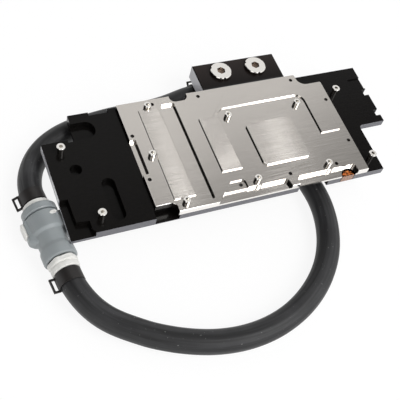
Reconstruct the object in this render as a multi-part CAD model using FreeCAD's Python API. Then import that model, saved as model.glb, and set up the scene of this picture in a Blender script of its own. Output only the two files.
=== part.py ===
import FreeCAD, Part
import math
import os

# Full-cover liquid cold plate, lying with its circuit-board side up.
# The origin is the middle of the die contact face, X along the card, Z out of the contact face.
# All sizes are millimetres.

V = FreeCAD.Vector
Z = V(0, 0, 1)

# Heights, from the die contact face down
pedestalHeight = 1.5
memoryPadHeight = 1.2
powerPadHeight = 1.0
plateThickness = 5.0
coverThickness = 6.6
coverStep = 1.6
standoffReach = 3.7
ledgeDepth = 3.2
pocketDepth = 1.4
channelDepth = 2.5
plateTop = -pedestalHeight
plateBottom = plateTop - plateThickness
coverBottom = plateBottom - coverThickness
boardLevel = plateTop + standoffReach
coverTop = plateBottom + coverStep

# Cold plate outline
plateLeft = -107.8
plateRight = 59.4
plateBack = 57.5
frontEdge = -40.2
cornerCutX = plateLeft + 14.9
cornerCutY = -32.5
cornerCutRadius = 4.6
backCutX = 40.2
backCutY = 46.6
backCutRadius = 7.0
cornerRadius = 1.2

# Contact pads on the plate
pedestalSize = 38.4
pedestalChamfer = 2.2
padOuterLeft = -52.0
padInnerLeft = -36.3
padInnerRight = 37.0
padOuterRight = 53.0
padFront = -17.2
rightPadFront = -1.4
padShoulder = 31.4
padInnerBack = 37.2
padBack = 52.4
padCorner = 7.0
padChamfer = 0.3
chamferReach = 10.5
powerPadLeft = plateLeft + 14.2
powerPadRight = plateLeft + 30.1
powerPadFront = -30.9
powerPadBack = 48.4

# Cuts in the plate
channelLeft = plateLeft + 32.3
channelRight = plateLeft + 43.0
channelFront = -36.2
channelBack = 51.0
channelCorner = 1.5
backNotchX = -59.7
backNotchWidth = 14.0
backNotchDepth = 6.1
ledgeBack = -33.2
leftLedgeStart = -56.4
leftLedgeEnd = -6.4
rightLedgeStart = 0.8
rightLedgeEnd = 50.4
ledgeCorner = 3.0
pocketLeft = -49.2
pocketRight = -38.0
pocketBack = -26.0
sideLedgeWidth = 4.2
sideLedgeFront = -6.0
sideLedgeBack = 24.6
slugX = 43.2
slugSeatRadius = 5.9
slugRadius = 5.2
slugTop = plateTop - ledgeDepth - 0.8
slugHeight = 6.6

# Micro fins and coolant passages
finSlotWidth = 0.7
finPitch = 1.4
finCount = 31
finLength = 34.0
finDepth = 2.6
jetPlateLength = 46.0
jetPlateWidth = 28.0
jetPlateThickness = 1.0
jetSlotWidth = 2.5
jetSlotLength = 38.0
fitClearance = 0.15
plenumLength = 40.0
plenumWidth = 10.0
passageDepth = 4.6
collectorWidth = 5.0
powerChannelEnd = -97.0
powerChannelWidth = 12.0
powerChannelDepth = 3.0
ribWidth = 4.0
ductWidth = 14.0
ductHeight = 2.6
ductDrop = 3.8
sealLeft = -101.5
sealRight = 33.0
sealFront = -26.5
sealBack = 26.5
sealCorner = 6.0
sealDiameter = 2.0

# Cover outline
coverLeft = -168.8
coverRight = 74.4
tabRight = 97.6
tabFront = 1.8
tabFillet = 3.3
coverBack = 58.0
leftBack = 36.9
leftTabEdge = -144.2
leftTabRight = -128.9
backStepX = -114.3
backStepDepth = 3.0
reliefLeft = -149.7
reliefRight = -146.2
reliefDepth = 2.0
sideNotchDepth = 3.8
sideNotchWidth = 5.8
sideNotchStarts = (7.8, 28.8)
coverPocketDepth = 4.8
cornerPocketDepth = 4.6
tabPocketFront = 35.6
tabPocketBack = 50.3
tabPocketRadius = 7.0
holeX = -151.0
holeY = 11.4
holeRadius = 4.3
slotX = -132.7
slotFront = -29.9
slotBack = -4.9
slotRadius = 4.7
hoseGateLeft = 2.0
hoseGateRight = 26.5
hoseGateDepth = 9.0
hoseGateRadius = 4.0
edgeChamfer = 0.6
coverChamfer = 0.8

# Fasteners: places measured from the die centre
coverScrewPlaces = [(plateLeft + 2.9, 27.9), (plateLeft + 2.9, -10.6), (plateLeft + 26.4, 52.6),
                    (-44.4, 52.6), (35.2, 52.6), (55.6, 28.3), (55.6, -12.3), (36.1, -30.0),
                    (-2.8, -30.0), (-42.3, -29.6)]
screwRadius = 1.45
screwHeadRadius = 2.9
screwHeadHeight = 2.2
screwSink = 2.6
screwEndDrop = 2.4
diePitch = 58.42
boardPlaces = [(plateLeft + 21.8, 50.5), (plateLeft + 11.2, 8.5), (plateLeft + 21.8, -34.3)]
supportPlaces = [(-157.2, 28.0), (-145.0, -29.6), (67.0, 34.9), (66.7, -30.0)]
standoffRadius = 2.65
standoffBore = 1.25
standoffStud = 1.45
standoffStudLength = 3.0
supportRadius = 2.3
supportFlange = 3.0
supportFlangeHeight = 1.2
supportBore = 5.0
hexKeyDepth = 1.4

# Terminal block
terminalLeft = -38.2
terminalRight = 31.7
terminalDepth = 24.4
terminalHeight = 13.6
terminalTop = plateTop
terminalFront = coverBack
terminalBottom = terminalTop - terminalHeight
portPitch = 29.6
portX = -3.25
portSetback = 13.5
portY = terminalFront + portSetback
portBore = 5.9
portThread = 6.6
portThreadDepth = 5.6
plugRadius = 8.4
plugFlange = 2.0
plugSocketFlats = 6.0
plugSealSection = 0.9
terminalScrewOffset = 30.0
terminalScrewReach = 10.0

# Hoses and elbow fittings
hoseRadius = 8.5
hoseBore = 5.5
elbowDrop = 9.5
elbowRadius = 8.4
elbowCollar = 2.5
elbowShoulder = 9.5
swivelRadius = 5.2
swivelLength = 4.6
waterBore = 4.0
barbLength = 12.0
hoseLevel = terminalBottom - elbowDrop
floorLevel = hoseLevel - hoseRadius

# Coupling: stations are measured along its axis from the short hose's clamp
couplingRadius = 12.4
couplingLevel = floorLevel + couplingRadius + 0.1
couplingX = -182.6
couplingY = 4.7
couplingTurn = -83.2
shortHoseStation = 5.5
collarRadius = 9.7
ringStart = 9.5
bodyStart = 15.2
waistStart = 31.0
waistRadius = 10.6
flangeStart = 42.4
flangeRadius = 11.4
bodyEnd = 57.0
longHoseStation = 60.5
couplingBore = 8.0
hexFlats = 19.0
noseLength = 17.0
latchStart = 17.2
latchLength = 11.4
latchWidth = 7.0
latchReach = 15.6
latchDepth = 4.4
lugStart = 15.8
lugEnd = 34.4
lugSlope = 5.0
lugWidth = 10.4
lugReach = 15.0
markStation = 20.2
markLength = 5.8
markWidth = 3.2
markTurn = -24.0
latchTravel = 1.8
latchClearance = 0.3
latchFillet = 0.9
dishRadius = 30.0

# Spring-band clamps
clampWidth = 9.0
clampWall = 0.6
clampSetback = 1.0
tailReach = 4.4
tailWire = 1.3
tailOverhang = 0.8
tailLean = 32.0


def placedBox(x0, x1, y0, y1, z0, z1):
    return Part.makeBox(x1 - x0, y1 - y0, z1 - z0, V(x0, y0, z0))


def rod(radius, start, end):
    axis = end - start
    return Part.makeCylinder(radius, axis.Length, start, axis)


def polygonPrism(points, z0, z1):
    corners = [V(x, y, z0) for x, y in points]
    face = Part.Face(Part.makePolygon(corners + corners[:1]))
    return face.extrude(V(0, 0, z1 - z0))


def verticalEdgesAt(shape, places, reach=0.05):
    # Straight upright edges that stand at the given places
    found = []
    for edge in shape.Edges:
        start = edge.Vertexes[0].Point
        end = edge.Vertexes[-1].Point
        upright = abs(start.x - end.x) < reach and abs(start.y - end.y) < reach
        if upright and any(math.hypot(start.x - x, start.y - y) < reach for x, y in places):
            found.append(edge)
    return found


def roundUpright(shape, places, radius):
    return shape.makeFillet(radius, verticalEdgesAt(shape, places))


def roundedPrism(x0, x1, y0, y1, z0, z1, radius):
    block = placedBox(x0, x1, y0, y1, z0, z1)
    return roundUpright(block, [(x0, y0), (x1, y0), (x1, y1), (x0, y1)], radius)


def slotPrism(x, y0, y1, radius, z0, z1):
    # Round-ended slot that runs along Y, between the centres of its ends
    straight = placedBox(x - radius, x + radius, y0, y1, z0, z1)
    ends = [Part.makeCylinder(radius, z1 - z0, V(x, y, z0)) for y in (y0, y1)]
    return straight.fuse(ends).removeSplitter()


def edgesAtHeight(shape, z):
    return [edge for edge in shape.Edges
            if all(abs(vertex.Point.z - z) < 1e-4 for vertex in edge.Vertexes)]


def hexPrism(flats, base, height, turn=0.0):
    radius = flats / math.sqrt(3)
    corners = [V(radius * math.cos(math.radians(60 * i + turn)),
                 radius * math.sin(math.radians(60 * i + turn)), 0) for i in range(6)]
    face = Part.Face(Part.makePolygon(corners + corners[:1]))
    prism = face.extrude(V(0, 0, height))
    prism.translate(base)
    return prism


def revolved(profile):
    # Profile points are (station along X, radius); the solid turns about X
    corners = [V(station, radius, 0) for station, radius in profile]
    face = Part.Face(Part.makePolygon(corners + corners[:1]))
    return face.revolve(V(0, 0, 0), V(1, 0, 0), 360)


# Cold plate

def plateOutline():
    points = [(cornerCutX, frontEdge), (plateRight, frontEdge), (plateRight, backCutY),
              (backCutX, backCutY), (backCutX, plateBack), (plateLeft, plateBack),
              (plateLeft, cornerCutY), (cornerCutX, cornerCutY)]
    slab = polygonPrism(points, plateBottom, plateTop)
    slab = roundUpright(slab, [(cornerCutX, cornerCutY)], cornerCutRadius)
    slab = roundUpright(slab, [(backCutX, backCutY)], backCutRadius)
    return roundUpright(slab, [(plateRight, backCutY), (backCutX, plateBack)], cornerRadius)


def diePedestal():
    half = pedestalSize / 2
    block = placedBox(-half, half, -half, half, plateTop, plateTop + pedestalHeight)
    corners = [(-half, -half), (half, -half), (half, half), (-half, half)]
    block = block.makeChamfer(pedestalChamfer, verticalEdgesAt(block, corners))
    return block.makeChamfer(padChamfer, edgesAtHeight(block, plateTop + pedestalHeight))


def memoryPads():
    # One raised U round three sides of the die, with slanted outer corners at the back
    slant = chamferReach
    points = [(padOuterLeft, padFront), (padInnerLeft, padFront), (padInnerLeft, padInnerBack),
              (padInnerRight, padInnerBack), (padInnerRight, rightPadFront),
              (padOuterRight, rightPadFront), (padOuterRight, padShoulder),
              (padOuterRight - slant - 2.7, padShoulder),
              (padOuterRight - 2 * slant - 1.2, padShoulder + slant),
              (padOuterRight - 3 * slant + 5.5, padBack), (padOuterLeft + 3 * slant - 2.5, padBack),
              (padOuterLeft + 2 * slant, padShoulder + slant), (padOuterLeft + slant, padShoulder),
              (padOuterLeft, padShoulder)]
    pads = polygonPrism(points, plateTop, plateTop + memoryPadHeight)
    inner = [(padInnerLeft, padInnerBack), (padInnerRight, padInnerBack)]
    pads = roundUpright(pads, inner, padCorner)
    return pads.makeChamfer(padChamfer, edgesAtHeight(pads, plateTop + memoryPadHeight))


def powerPad():
    pad = placedBox(powerPadLeft, powerPadRight, powerPadFront, powerPadBack,
                    plateTop, plateTop + powerPadHeight)
    # Clearance round the two standoffs that stand at the pad's edge
    for x, y in boardPlaces[:2]:
        pad = pad.cut(Part.makeCylinder(standoffRadius + 1.0, powerPadHeight, V(x, y, plateTop)))
    return pad.makeChamfer(padChamfer, edgesAtHeight(pad, plateTop + powerPadHeight))


def powerChannel():
    return roundedPrism(channelLeft, channelRight, channelFront, channelBack,
                        plateTop - channelDepth, plateTop + pedestalHeight, channelCorner)


def frontLedges():
    floor = plateTop - ledgeDepth
    ceiling = plateTop + pedestalHeight
    left = polygonPrism([(leftLedgeStart - 7.4, frontEdge - 1), (leftLedgeEnd + 1.5, frontEdge - 1),
                         (leftLedgeEnd, ledgeBack), (leftLedgeStart, ledgeBack)], floor, ceiling)
    left = roundUpright(left, [(leftLedgeEnd, ledgeBack)], ledgeCorner)
    right = placedBox(rightLedgeStart, rightLedgeEnd, frontEdge - 1, ledgeBack, floor, ceiling)
    right = roundUpright(right, [(rightLedgeStart, ledgeBack), (rightLedgeEnd, ledgeBack)],
                         ledgeCorner)
    # The wall keeps a boss of metal round each standoff that stands beside it
    for x in (-diePitch / 2, diePitch / 2):
        boss = Part.makeCylinder(standoffRadius + 2.0, ceiling - floor, V(x, -diePitch / 2, floor))
        left = left.cut(boss)
        right = right.cut(boss)
    return left.fuse(right)


def cornerPocket():
    floor = plateTop - pocketDepth
    pocket = polygonPrism([(leftLedgeStart, ledgeBack - 0.5), (pocketLeft, pocketBack),
                           (pocketRight, pocketBack), (pocketRight, ledgeBack - 0.5)],
                          floor, plateTop + pedestalHeight)
    return roundUpright(pocket, [(pocketRight, pocketBack)], ledgeCorner)


def backNotch(z0, z1):
    radius = backNotchWidth / 2
    half = placedBox(backNotchX - radius, backNotchX + radius, plateBack - backNotchDepth,
                     coverBack + 1, z0, z1)
    corners = [(backNotchX - radius, plateBack - backNotchDepth),
               (backNotchX + radius, plateBack - backNotchDepth)]
    return roundUpright(half, corners, backNotchDepth * 0.7)


def slugSeat():
    top = plateTop + pedestalHeight
    bottom = slugTop - slugHeight
    return Part.makeCylinder(slugSeatRadius, top - bottom, V(slugX, frontEdge, bottom))


def microFins():
    # Slots that leave thin parallel fins standing on the wet side, under the die
    first = -finPitch * (finCount - 1) / 2
    slots = [placedBox(first + i * finPitch - finSlotWidth / 2, first + i * finPitch + finSlotWidth / 2,
                       -finLength / 2, finLength / 2, plateBottom, plateBottom + finDepth)
             for i in range(finCount)]
    return Part.makeCompound(slots)


def diePlaces():
    half = diePitch / 2
    return [(-half, half), (half, half), (half, -half), (-half, -half)]


def coldPlate():
    plate = plateOutline()
    plate = plate.makeChamfer(0.3, edgesAtHeight(plate, plateTop))
    plate = plate.cut(powerChannel())
    plate = plate.cut(frontLedges())
    plate = plate.cut(cornerPocket())
    sideLedge = roundedPrism(plateLeft - 2, plateLeft + sideLedgeWidth, sideLedgeFront,
                             sideLedgeBack, plateTop - ledgeDepth, plateTop + 1, 1.0)
    plate = plate.cut(sideLedge)
    plate = plate.fuse([diePedestal(), memoryPads(), powerPad()])
    plate = plate.cut(backNotch(plateBottom, plateTop + 1))
    plate = plate.cut(slugSeat())
    plate = plate.cut(microFins())
    drills = [Part.makeCylinder(screwRadius, 2 * plateThickness, V(x, y, plateBottom - 1))
              for x, y in coverScrewPlaces]
    drills += [Part.makeCylinder(standoffStud, standoffStudLength, V(x, y, plateTop - standoffStudLength))
               for x, y in diePlaces() + boardPlaces]
    return plate.cut(drills).removeSplitter()


# Cover

def coverOutline():
    backY = coverBack - backStepDepth
    points = [(coverLeft, frontEdge), (coverRight, frontEdge), (coverRight, tabFront),
              (tabRight, tabFront), (tabRight, coverBack),
              (backStepX, coverBack), (backStepX, backY), (leftTabRight, backY),
              (leftTabRight, coverBack), (leftTabEdge, coverBack), (leftTabEdge, leftBack),
              (reliefRight, leftBack), (reliefRight, leftBack - reliefDepth),
              (reliefLeft, leftBack - reliefDepth), (reliefLeft, leftBack), (coverLeft, leftBack)]
    slab = polygonPrism(points, coverBottom, plateBottom)
    slab = roundUpright(slab, [(coverRight, tabFront)], tabFillet)
    for start in sideNotchStarts:
        slab = slab.cut(placedBox(tabRight - sideNotchDepth, tabRight + 1, start,
                                  start + sideNotchWidth, coverBottom, plateBottom))
    slab = slab.makeChamfer(coverChamfer, edgesAtHeight(slab, coverBottom))
    return slab.fuse(raisedLeftPart(points)).removeSplitter()


def raisedLeftPart(points):
    # The cover stands higher beside the plate than under it
    edge = plateLeft - fitClearance
    outline = polygonPrism(points, plateBottom - 1, coverTop)
    return outline.common(placedBox(coverLeft - 1, edge, frontEdge - 1, coverBack + 1,
                                    plateBottom - 1, coverTop + 1))


def coverPockets():
    floor = coverTop - coverPocketDepth
    top = coverTop + 1
    tabPocket = roundedPrism(leftTabEdge - 9, leftTabRight + 1.1, tabPocketFront, tabPocketBack,
                             floor, top, tabPocketRadius)
    tabPocket = tabPocket.cut(placedBox(leftTabEdge - 12, leftTabEdge - 2, tabPocketFront - 1,
                                        tabPocketBack + 1, floor - 1, top + 1))
    slot = slotPrism(slotX, slotFront, slotBack, slotRadius, floor, top)
    hole = Part.makeCylinder(holeRadius, coverPocketDepth + 1, V(holeX, holeY, floor))
    low = coverTop - cornerPocketDepth
    corner = polygonPrism([(coverLeft - 1, frontEdge - 1), (-151.7, frontEdge - 1), (-151.7, -39.3),
                           (-153.5, -36.9), (-153.5, -30.3), (-162.5, -29.3), (-163.1, -10.5),
                           (coverLeft - 1, -10.5)], low, top)
    tabStep = placedBox(86.4, tabRight + 1, 35.6, 46.8, plateBottom - 1.2, top)
    frontCavity = roundedPrism(plateLeft - 1.6, cornerCutX + 1.2, frontEdge - 8, cornerCutY + 2.0,
                               coverBottom + 1.5, top, 4.0)
    return [tabPocket, slot, hole, corner, tabStep, frontCavity]


def hoseGate():
    # Cut-out in the front edge that the long hose passes under
    gate = placedBox(hoseGateLeft, hoseGateRight, frontEdge - 8, frontEdge + hoseGateDepth,
                     coverBottom - 1, plateBottom + 1)
    inner = [(hoseGateLeft, frontEdge + hoseGateDepth), (hoseGateRight, frontEdge + hoseGateDepth)]
    return roundUpright(gate, inner, hoseGateRadius)


def duct(x, yEnd):
    # Flattened passage from the back face of the cover towards the chamber
    z = plateBottom - ductDrop
    half = ductHeight / 2
    core = placedBox(x - ductWidth / 2 + half, x + ductWidth / 2 - half, yEnd, coverBack + 1,
                     z - half, z + half)
    sides = [rod(half, V(x + side * (ductWidth / 2 - half), yEnd, z),
                 V(x + side * (ductWidth / 2 - half), coverBack + 1, z)) for side in (-1, 1)]
    return core.fuse(sides)


def portPlaces():
    return [(portX - portPitch / 2, portY), (portX + portPitch / 2, portY)]


def coolantPassages():
    top = plateBottom
    seat = placedBox(-jetPlateLength / 2 - fitClearance, jetPlateLength / 2 + fitClearance,
                     -jetPlateWidth / 2 - fitClearance, jetPlateWidth / 2 + fitClearance,
                     top - jetPlateThickness, top)
    plenum = placedBox(-plenumLength / 2, plenumLength / 2, -plenumWidth / 2, plenumWidth / 2,
                       top - passageDepth, top)
    edge = jetPlateWidth / 2 + fitClearance
    collectors = [placedBox(-jetPlateLength / 2 - collectorWidth, jetPlateLength / 2, y0,
                            y0 + collectorWidth, top - passageDepth, top)
                  for y0 in (edge, -edge - collectorWidth)]
    half = powerChannelWidth + ribWidth / 2
    field = placedBox(powerChannelEnd, -jetPlateLength / 2 - fitClearance, -half, half,
                      top - powerChannelDepth, top)
    rib = placedBox(powerChannelEnd + powerChannelWidth, -jetPlateLength / 2 - collectorWidth,
                    -ribWidth / 2, ribWidth / 2, top - powerChannelDepth, top)
    outletX = portPlaces()[0][0]
    inletX = portPlaces()[1][0]
    return [seat, plenum, *collectors, field.cut(rib), duct(outletX, edge + 1),
            duct(inletX, 0)]


def sealPath(z):
    block = roundedPrism(sealLeft, sealRight, sealFront, sealBack, z - 1, z, sealCorner)
    top = [face for face in block.Faces if abs(face.CenterOfMass.z - z) < 1e-6][0]
    return top.OuterWire


def sealGroove():
    width = sealDiameter / 2 + fitClearance
    outer = roundedPrism(sealLeft - width, sealRight + width, sealFront - width, sealBack + width,
                         plateBottom - sealDiameter, plateBottom, sealCorner + width)
    inner = roundedPrism(sealLeft + width, sealRight - width, sealFront + width, sealBack - width,
                         plateBottom - sealDiameter, plateBottom, sealCorner - width)
    return outer.cut(inner)


def chamberSeal():
    path = sealPath(plateBottom - sealDiameter / 2)
    start = path.Vertexes[0].Point
    edge = path.Edges[0]
    tangent = edge.tangentAt(edge.FirstParameter)
    radius = sealDiameter / 2 - 0.02
    section = Part.Wire(Part.makeCircle(radius, start, tangent))
    return path.makePipeShell([section], True, True)


def screwHeadSinks():
    return [Part.makeCylinder(screwHeadRadius + fitClearance, screwSink, V(x, y, coverBottom))
            for x, y in coverScrewPlaces]


def coverBody():
    cover = coverOutline()
    cover = cover.cut(coverPockets())
    cover = cover.cut(hoseGate())
    cover = cover.cut(backNotch(coverBottom - 1, plateBottom + 1))
    cover = cover.cut(slugSeat())
    cover = cover.cut(coolantPassages())
    cover = cover.cut(sealGroove())
    drills = [Part.makeCylinder(screwRadius + fitClearance, coverThickness, V(x, y, coverBottom))
              for x, y in coverScrewPlaces]
    drills += [Part.makeCylinder(standoffStud, standoffStudLength,
                                 V(x, y, supportBase(x) - standoffStudLength))
               for x, y in supportPlaces]
    drills += [rod(screwRadius, V(x, coverBack - terminalScrewReach, z), V(x, coverBack, z))
               for x, z in terminalScrewLines()]
    return cover.cut(drills + screwHeadSinks()).removeSplitter()


def jetPlate():
    z0 = plateBottom - jetPlateThickness
    plate = roundedPrism(-jetPlateLength / 2, jetPlateLength / 2, -jetPlateWidth / 2,
                         jetPlateWidth / 2, z0, plateBottom, 0.5)
    slot = placedBox(-jetSlotLength / 2, jetSlotLength / 2, -jetSlotWidth / 2, jetSlotWidth / 2,
                     z0 - 1, plateBottom + 1)
    return plate.cut(slot)


# Terminal block and its fittings

def terminalScrewLines():
    z = (plateBottom + coverBottom) / 2
    return [(portX - terminalScrewOffset, z), (portX, z), (portX + terminalScrewOffset, z)]


def terminalBlock():
    block = placedBox(terminalLeft, terminalRight, terminalFront, terminalFront + terminalDepth,
                      terminalBottom, terminalTop)
    block = block.makeChamfer(edgeChamfer, edgesAtHeight(block, terminalTop)
                              + edgesAtHeight(block, terminalBottom))
    cuts = []
    for x, y in portPlaces():
        cuts.append(Part.makeCylinder(portBore, terminalHeight, V(x, y, terminalBottom)))
        cuts.append(Part.makeCylinder(portThread, portThreadDepth, V(x, y, terminalBottom)))
        cuts.append(Part.makeCylinder(portThread, portThreadDepth,
                                      V(x, y, terminalTop - portThreadDepth)))
        cuts.append(ductIntoTerminal(x, y))
        cuts.append(terminalSeal(x, fitClearance))
    for x, z in terminalScrewLines():
        back = terminalFront + terminalDepth
        cuts.append(rod(screwRadius + fitClearance, V(x, terminalFront, z), V(x, back, z)))
        cuts.append(rod(screwHeadRadius + fitClearance, V(x, back - screwSink, z), V(x, back, z)))
    return block.cut(cuts)


def ductIntoTerminal(x, y):
    z = plateBottom - ductDrop
    half = ductHeight / 2
    return placedBox(x - ductWidth / 2 + half, x + ductWidth / 2 - half, terminalFront - 1, y,
                     z - half, z + half)


def terminalSeal(x, growth=0.0):
    # Flat oval ring that seals a duct between terminal block and cover
    z = plateBottom - ductDrop
    thickness = 1.0
    gap = 0.4 - growth

    def oval(extra, y0, y1):
        half = ductHeight / 2
        reach = ductWidth / 2 - half
        core = placedBox(x - reach, x + reach, y0, y1, z - half - extra, z + half + extra)
        sides = [rod(half + extra, V(x + side * reach, y0, z), V(x + side * reach, y1, z))
                 for side in (-1, 1)]
        return core.fuse(sides).removeSplitter()

    outer = oval(0.9 + growth, terminalFront, terminalFront + thickness)
    return outer.cut(oval(gap, terminalFront - 1, terminalFront + thickness + 1))


def socketScrew(length, headAt, direction, headRadius=screwHeadRadius, headHeight=screwHeadHeight):
    # Socket-head screw: headAt is the underside of the head, direction points down the shank
    axis = V(direction)
    axis.normalize()
    head = Part.makeCylinder(headRadius, headHeight, headAt, axis * -1)
    head = head.makeChamfer(0.3, [head.Edges[0]])
    shank = Part.makeCylinder(screwRadius, length, headAt, axis)
    key = hexPrism(2.5, V(0, 0, 0), hexKeyDepth + 1)
    turn = FreeCAD.Rotation(Z, axis * -1)
    key.Placement = FreeCAD.Placement(headAt - axis * (headHeight - hexKeyDepth), turn)
    return head.fuse(shank).cut(key).removeSplitter()


def coverScrews():
    length = (plateTop - screwEndDrop) - (coverBottom + screwSink)
    return Part.makeCompound([socketScrew(length, V(x, y, coverBottom + screwSink), Z)
                              for x, y in coverScrewPlaces])


def terminalScrews():
    back = terminalFront + terminalDepth
    length = terminalDepth - screwSink + terminalScrewReach - 0.5
    return Part.makeCompound([socketScrew(length, V(x, back - screwSink, z), V(0, -1, 0))
                              for x, z in terminalScrewLines()])


def portPlug(x, y):
    base = terminalTop + plugSealSection * 0.6
    flange = Part.makeCylinder(plugRadius, plugFlange, V(x, y, base))
    flange = flange.makeChamfer(0.5, edgesAtHeight(flange, base + plugFlange))
    grips = [Part.makeCylinder(1.3, plugFlange + 2, V(x + (plugRadius + 0.5) * math.cos(a),
                                                      y + (plugRadius + 0.5) * math.sin(a), base - 1))
             for a in (math.radians(turn) for turn in (30, 150, 270))]
    stub = Part.makeCylinder(portThread, base - terminalTop + portThreadDepth - 0.4,
                             V(x, y, terminalTop - portThreadDepth + 0.4))
    socket = hexPrism(plugSocketFlats, V(x, y, base + plugFlange - 4.0), 5.0, 15)
    return flange.cut(grips).fuse(stub).cut(socket).removeSplitter()


def portPlugs():
    return Part.makeCompound([portPlug(x, y) for x, y in portPlaces()])


def flatRing(x, y, z0, height, inner, outer):
    ring = Part.makeCylinder(outer, height, V(x, y, z0))
    return ring.cut(Part.makeCylinder(inner, height, V(x, y, z0)))


def plugSeals():
    height = plugSealSection * 0.6
    return Part.makeCompound([flatRing(x, y, terminalTop, height, portThread, portThread + 1.2)
                              for x, y in portPlaces()])


def adapterSeals():
    return Part.makeCompound([flatRing(x, y, terminalBottom - 0.5, 0.5, portThread, portThread + 1.2)
                              for x, y in portPlaces()])


def elbowAdapter(x, y):
    # Threaded stub with a round collar; the elbow turns on its lower neck
    collarTop = terminalBottom - 0.5
    thread = Part.makeCylinder(portThread, 0.5 + portThreadDepth - 0.4, V(x, y, collarTop))
    collar = Part.makeCylinder(elbowRadius + 0.3, elbowCollar, V(x, y, collarTop - elbowCollar))
    collar = collar.makeFillet(0.5, edgesAtHeight(collar, collarTop))
    neck = Part.makeCylinder(swivelRadius, swivelLength, V(x, y, collarTop - elbowCollar - swivelLength))
    bore = Part.makeCylinder(waterBore, terminalHeight + elbowDrop, V(x, y, hoseLevel))
    return thread.fuse([collar, neck]).cut(bore).removeSplitter()


def barbProfile(length):
    # Three ridges that grip the hose; the ridge tops are the hose's bore
    points = [(0, waterBore), (0, hoseBore)]
    step = length / 3
    for i in range(3):
        points.append(((i + 0.7) * step, hoseBore))
        points.append(((i + 1) * step, hoseBore - 0.6))
        if i < 2:
            points.append(((i + 1) * step, hoseBore))
    points.append((length, waterBore))
    return points


def elbow(x, y, direction):
    top = terminalBottom - 0.5 - elbowCollar
    body = Part.makeCylinder(elbowRadius, top - floorLevel, V(x, y, floorLevel))
    body = body.makeFillet(2.0, edgesAtHeight(body, floorLevel))
    shoulder = rod(elbowRadius - 1.2, V(x, y, hoseLevel), V(x, y, hoseLevel) + direction * elbowShoulder)
    barb = revolved(barbProfile(barbLength))
    barb.Placement = FreeCAD.Placement(V(x, y, hoseLevel) + direction * elbowShoulder,
                                       FreeCAD.Rotation(V(1, 0, 0), direction))
    body = body.fuse([shoulder, barb])
    socket = Part.makeCylinder(swivelRadius, swivelLength, V(x, y, top - swivelLength))
    down = Part.makeCylinder(waterBore, top - hoseLevel, V(x, y, hoseLevel))
    across = rod(waterBore, V(x, y, hoseLevel), V(x, y, hoseLevel) + direction * (elbowShoulder + 1))
    return body.cut([socket, down, across]).removeSplitter()


# Coupling: built along X from station 0, then turned into place

def couplingPlacement():
    return FreeCAD.Placement(V(couplingX, couplingY, couplingLevel),
                             FreeCAD.Rotation(Z, couplingTurn))


def couplingPoint(station, side=0.0, height=0.0):
    return couplingPlacement().multVec(V(station, side, height))


def inPlace(shape):
    shape.Placement = couplingPlacement().multiply(shape.Placement)
    return shape


def latchBlock(grow):
    # The latch stands on the side that faces away from the plate
    inner = -latchReach + latchDepth + (latchTravel if grow else 0.0)
    return placedBox(latchStart - grow, latchStart + latchLength + grow, -latchReach - 5 * grow,
                     inner + grow, -latchWidth / 2 - grow, latchWidth / 2 + grow)


def couplingBody():
    profile = [(bodyStart, couplingBore), (bodyStart, couplingRadius - 0.5),
               (bodyStart + 0.6, couplingRadius), (waistStart - 3.0, couplingRadius),
               (waistStart, waistRadius + 0.4), (flangeStart - 2.0, waistRadius),
               (flangeStart, flangeRadius - 0.3), (flangeStart + 1.5, flangeRadius),
               (bodyEnd - 1.0, flangeRadius), (bodyEnd, flangeRadius - 0.8), (bodyEnd, couplingBore)]
    body = revolved(profile)
    body = body.fuse([sideLug(-1), sideLug(1)])
    body = body.cut([latchBlock(latchClearance), releaseMark(0.0)])
    return inPlace(body.removeSplitter())


def sideLug(side):
    # Wing on one side of the body, sloping back to the waist; the left one guides the latch
    half = lugWidth / 2
    outline = [V(lugStart, side * 6.0, -half), V(lugStart, side * lugReach, -half),
               V(lugEnd - lugSlope, side * lugReach, -half), V(lugEnd, side * 9.5, -half),
               V(lugEnd, side * 6.0, -half)]
    lug = Part.Face(Part.makePolygon(outline + outline[:1])).extrude(V(0, 0, lugWidth))
    tips = [edge for edge in lug.Edges if abs(abs(edge.CenterOfMass.y) - lugReach) < 0.01]
    lug = lug.makeFillet(1.4, tips)
    return lug.cut(rod(couplingBore + 0.6, V(0, 0, 0), V(bodyEnd, 0, 0)))


def releaseMark(rise):
    # Oval inlay near the top of the body
    half = (markLength - markWidth) / 2
    base = couplingRadius - 1.6
    height = 1.6 + (rise if rise else 2.0)
    mark = placedBox(markStation - markWidth / 2, markStation + markWidth / 2, -half, half,
                     base, base + height)
    ends = [Part.makeCylinder(markWidth / 2, height, V(markStation, side * half, base))
            for side in (-1, 1)]
    mark = mark.fuse(ends).removeSplitter()
    mark.rotate(V(0, 0, 0), V(1, 0, 0), markTurn)
    return mark


def thumbLatch():
    # Slides towards the coupling's axis; its outer face is dished for the thumb
    latch = latchBlock(0)
    outerEdges = [edge for edge in latch.Edges if edge.CenterOfMass.y < -latchReach + 0.1]
    latch = latch.makeFillet(latchFillet, outerEdges)
    middle = latchStart + latchLength / 2
    dish = Part.makeCylinder(dishRadius, latchWidth - 2, V(middle, -latchReach - dishRadius + 0.4,
                                                           -latchWidth / 2 + 1))
    return inPlace(latch.cut(dish))


def couplingRing():
    ring = revolved([(ringStart, couplingBore), (ringStart, couplingRadius - 0.9),
                     (ringStart + 0.9, couplingRadius), (bodyStart - 0.8, couplingRadius),
                     (bodyStart, couplingRadius - 0.6), (bodyStart, couplingBore)])
    return inPlace(ring)


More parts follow.
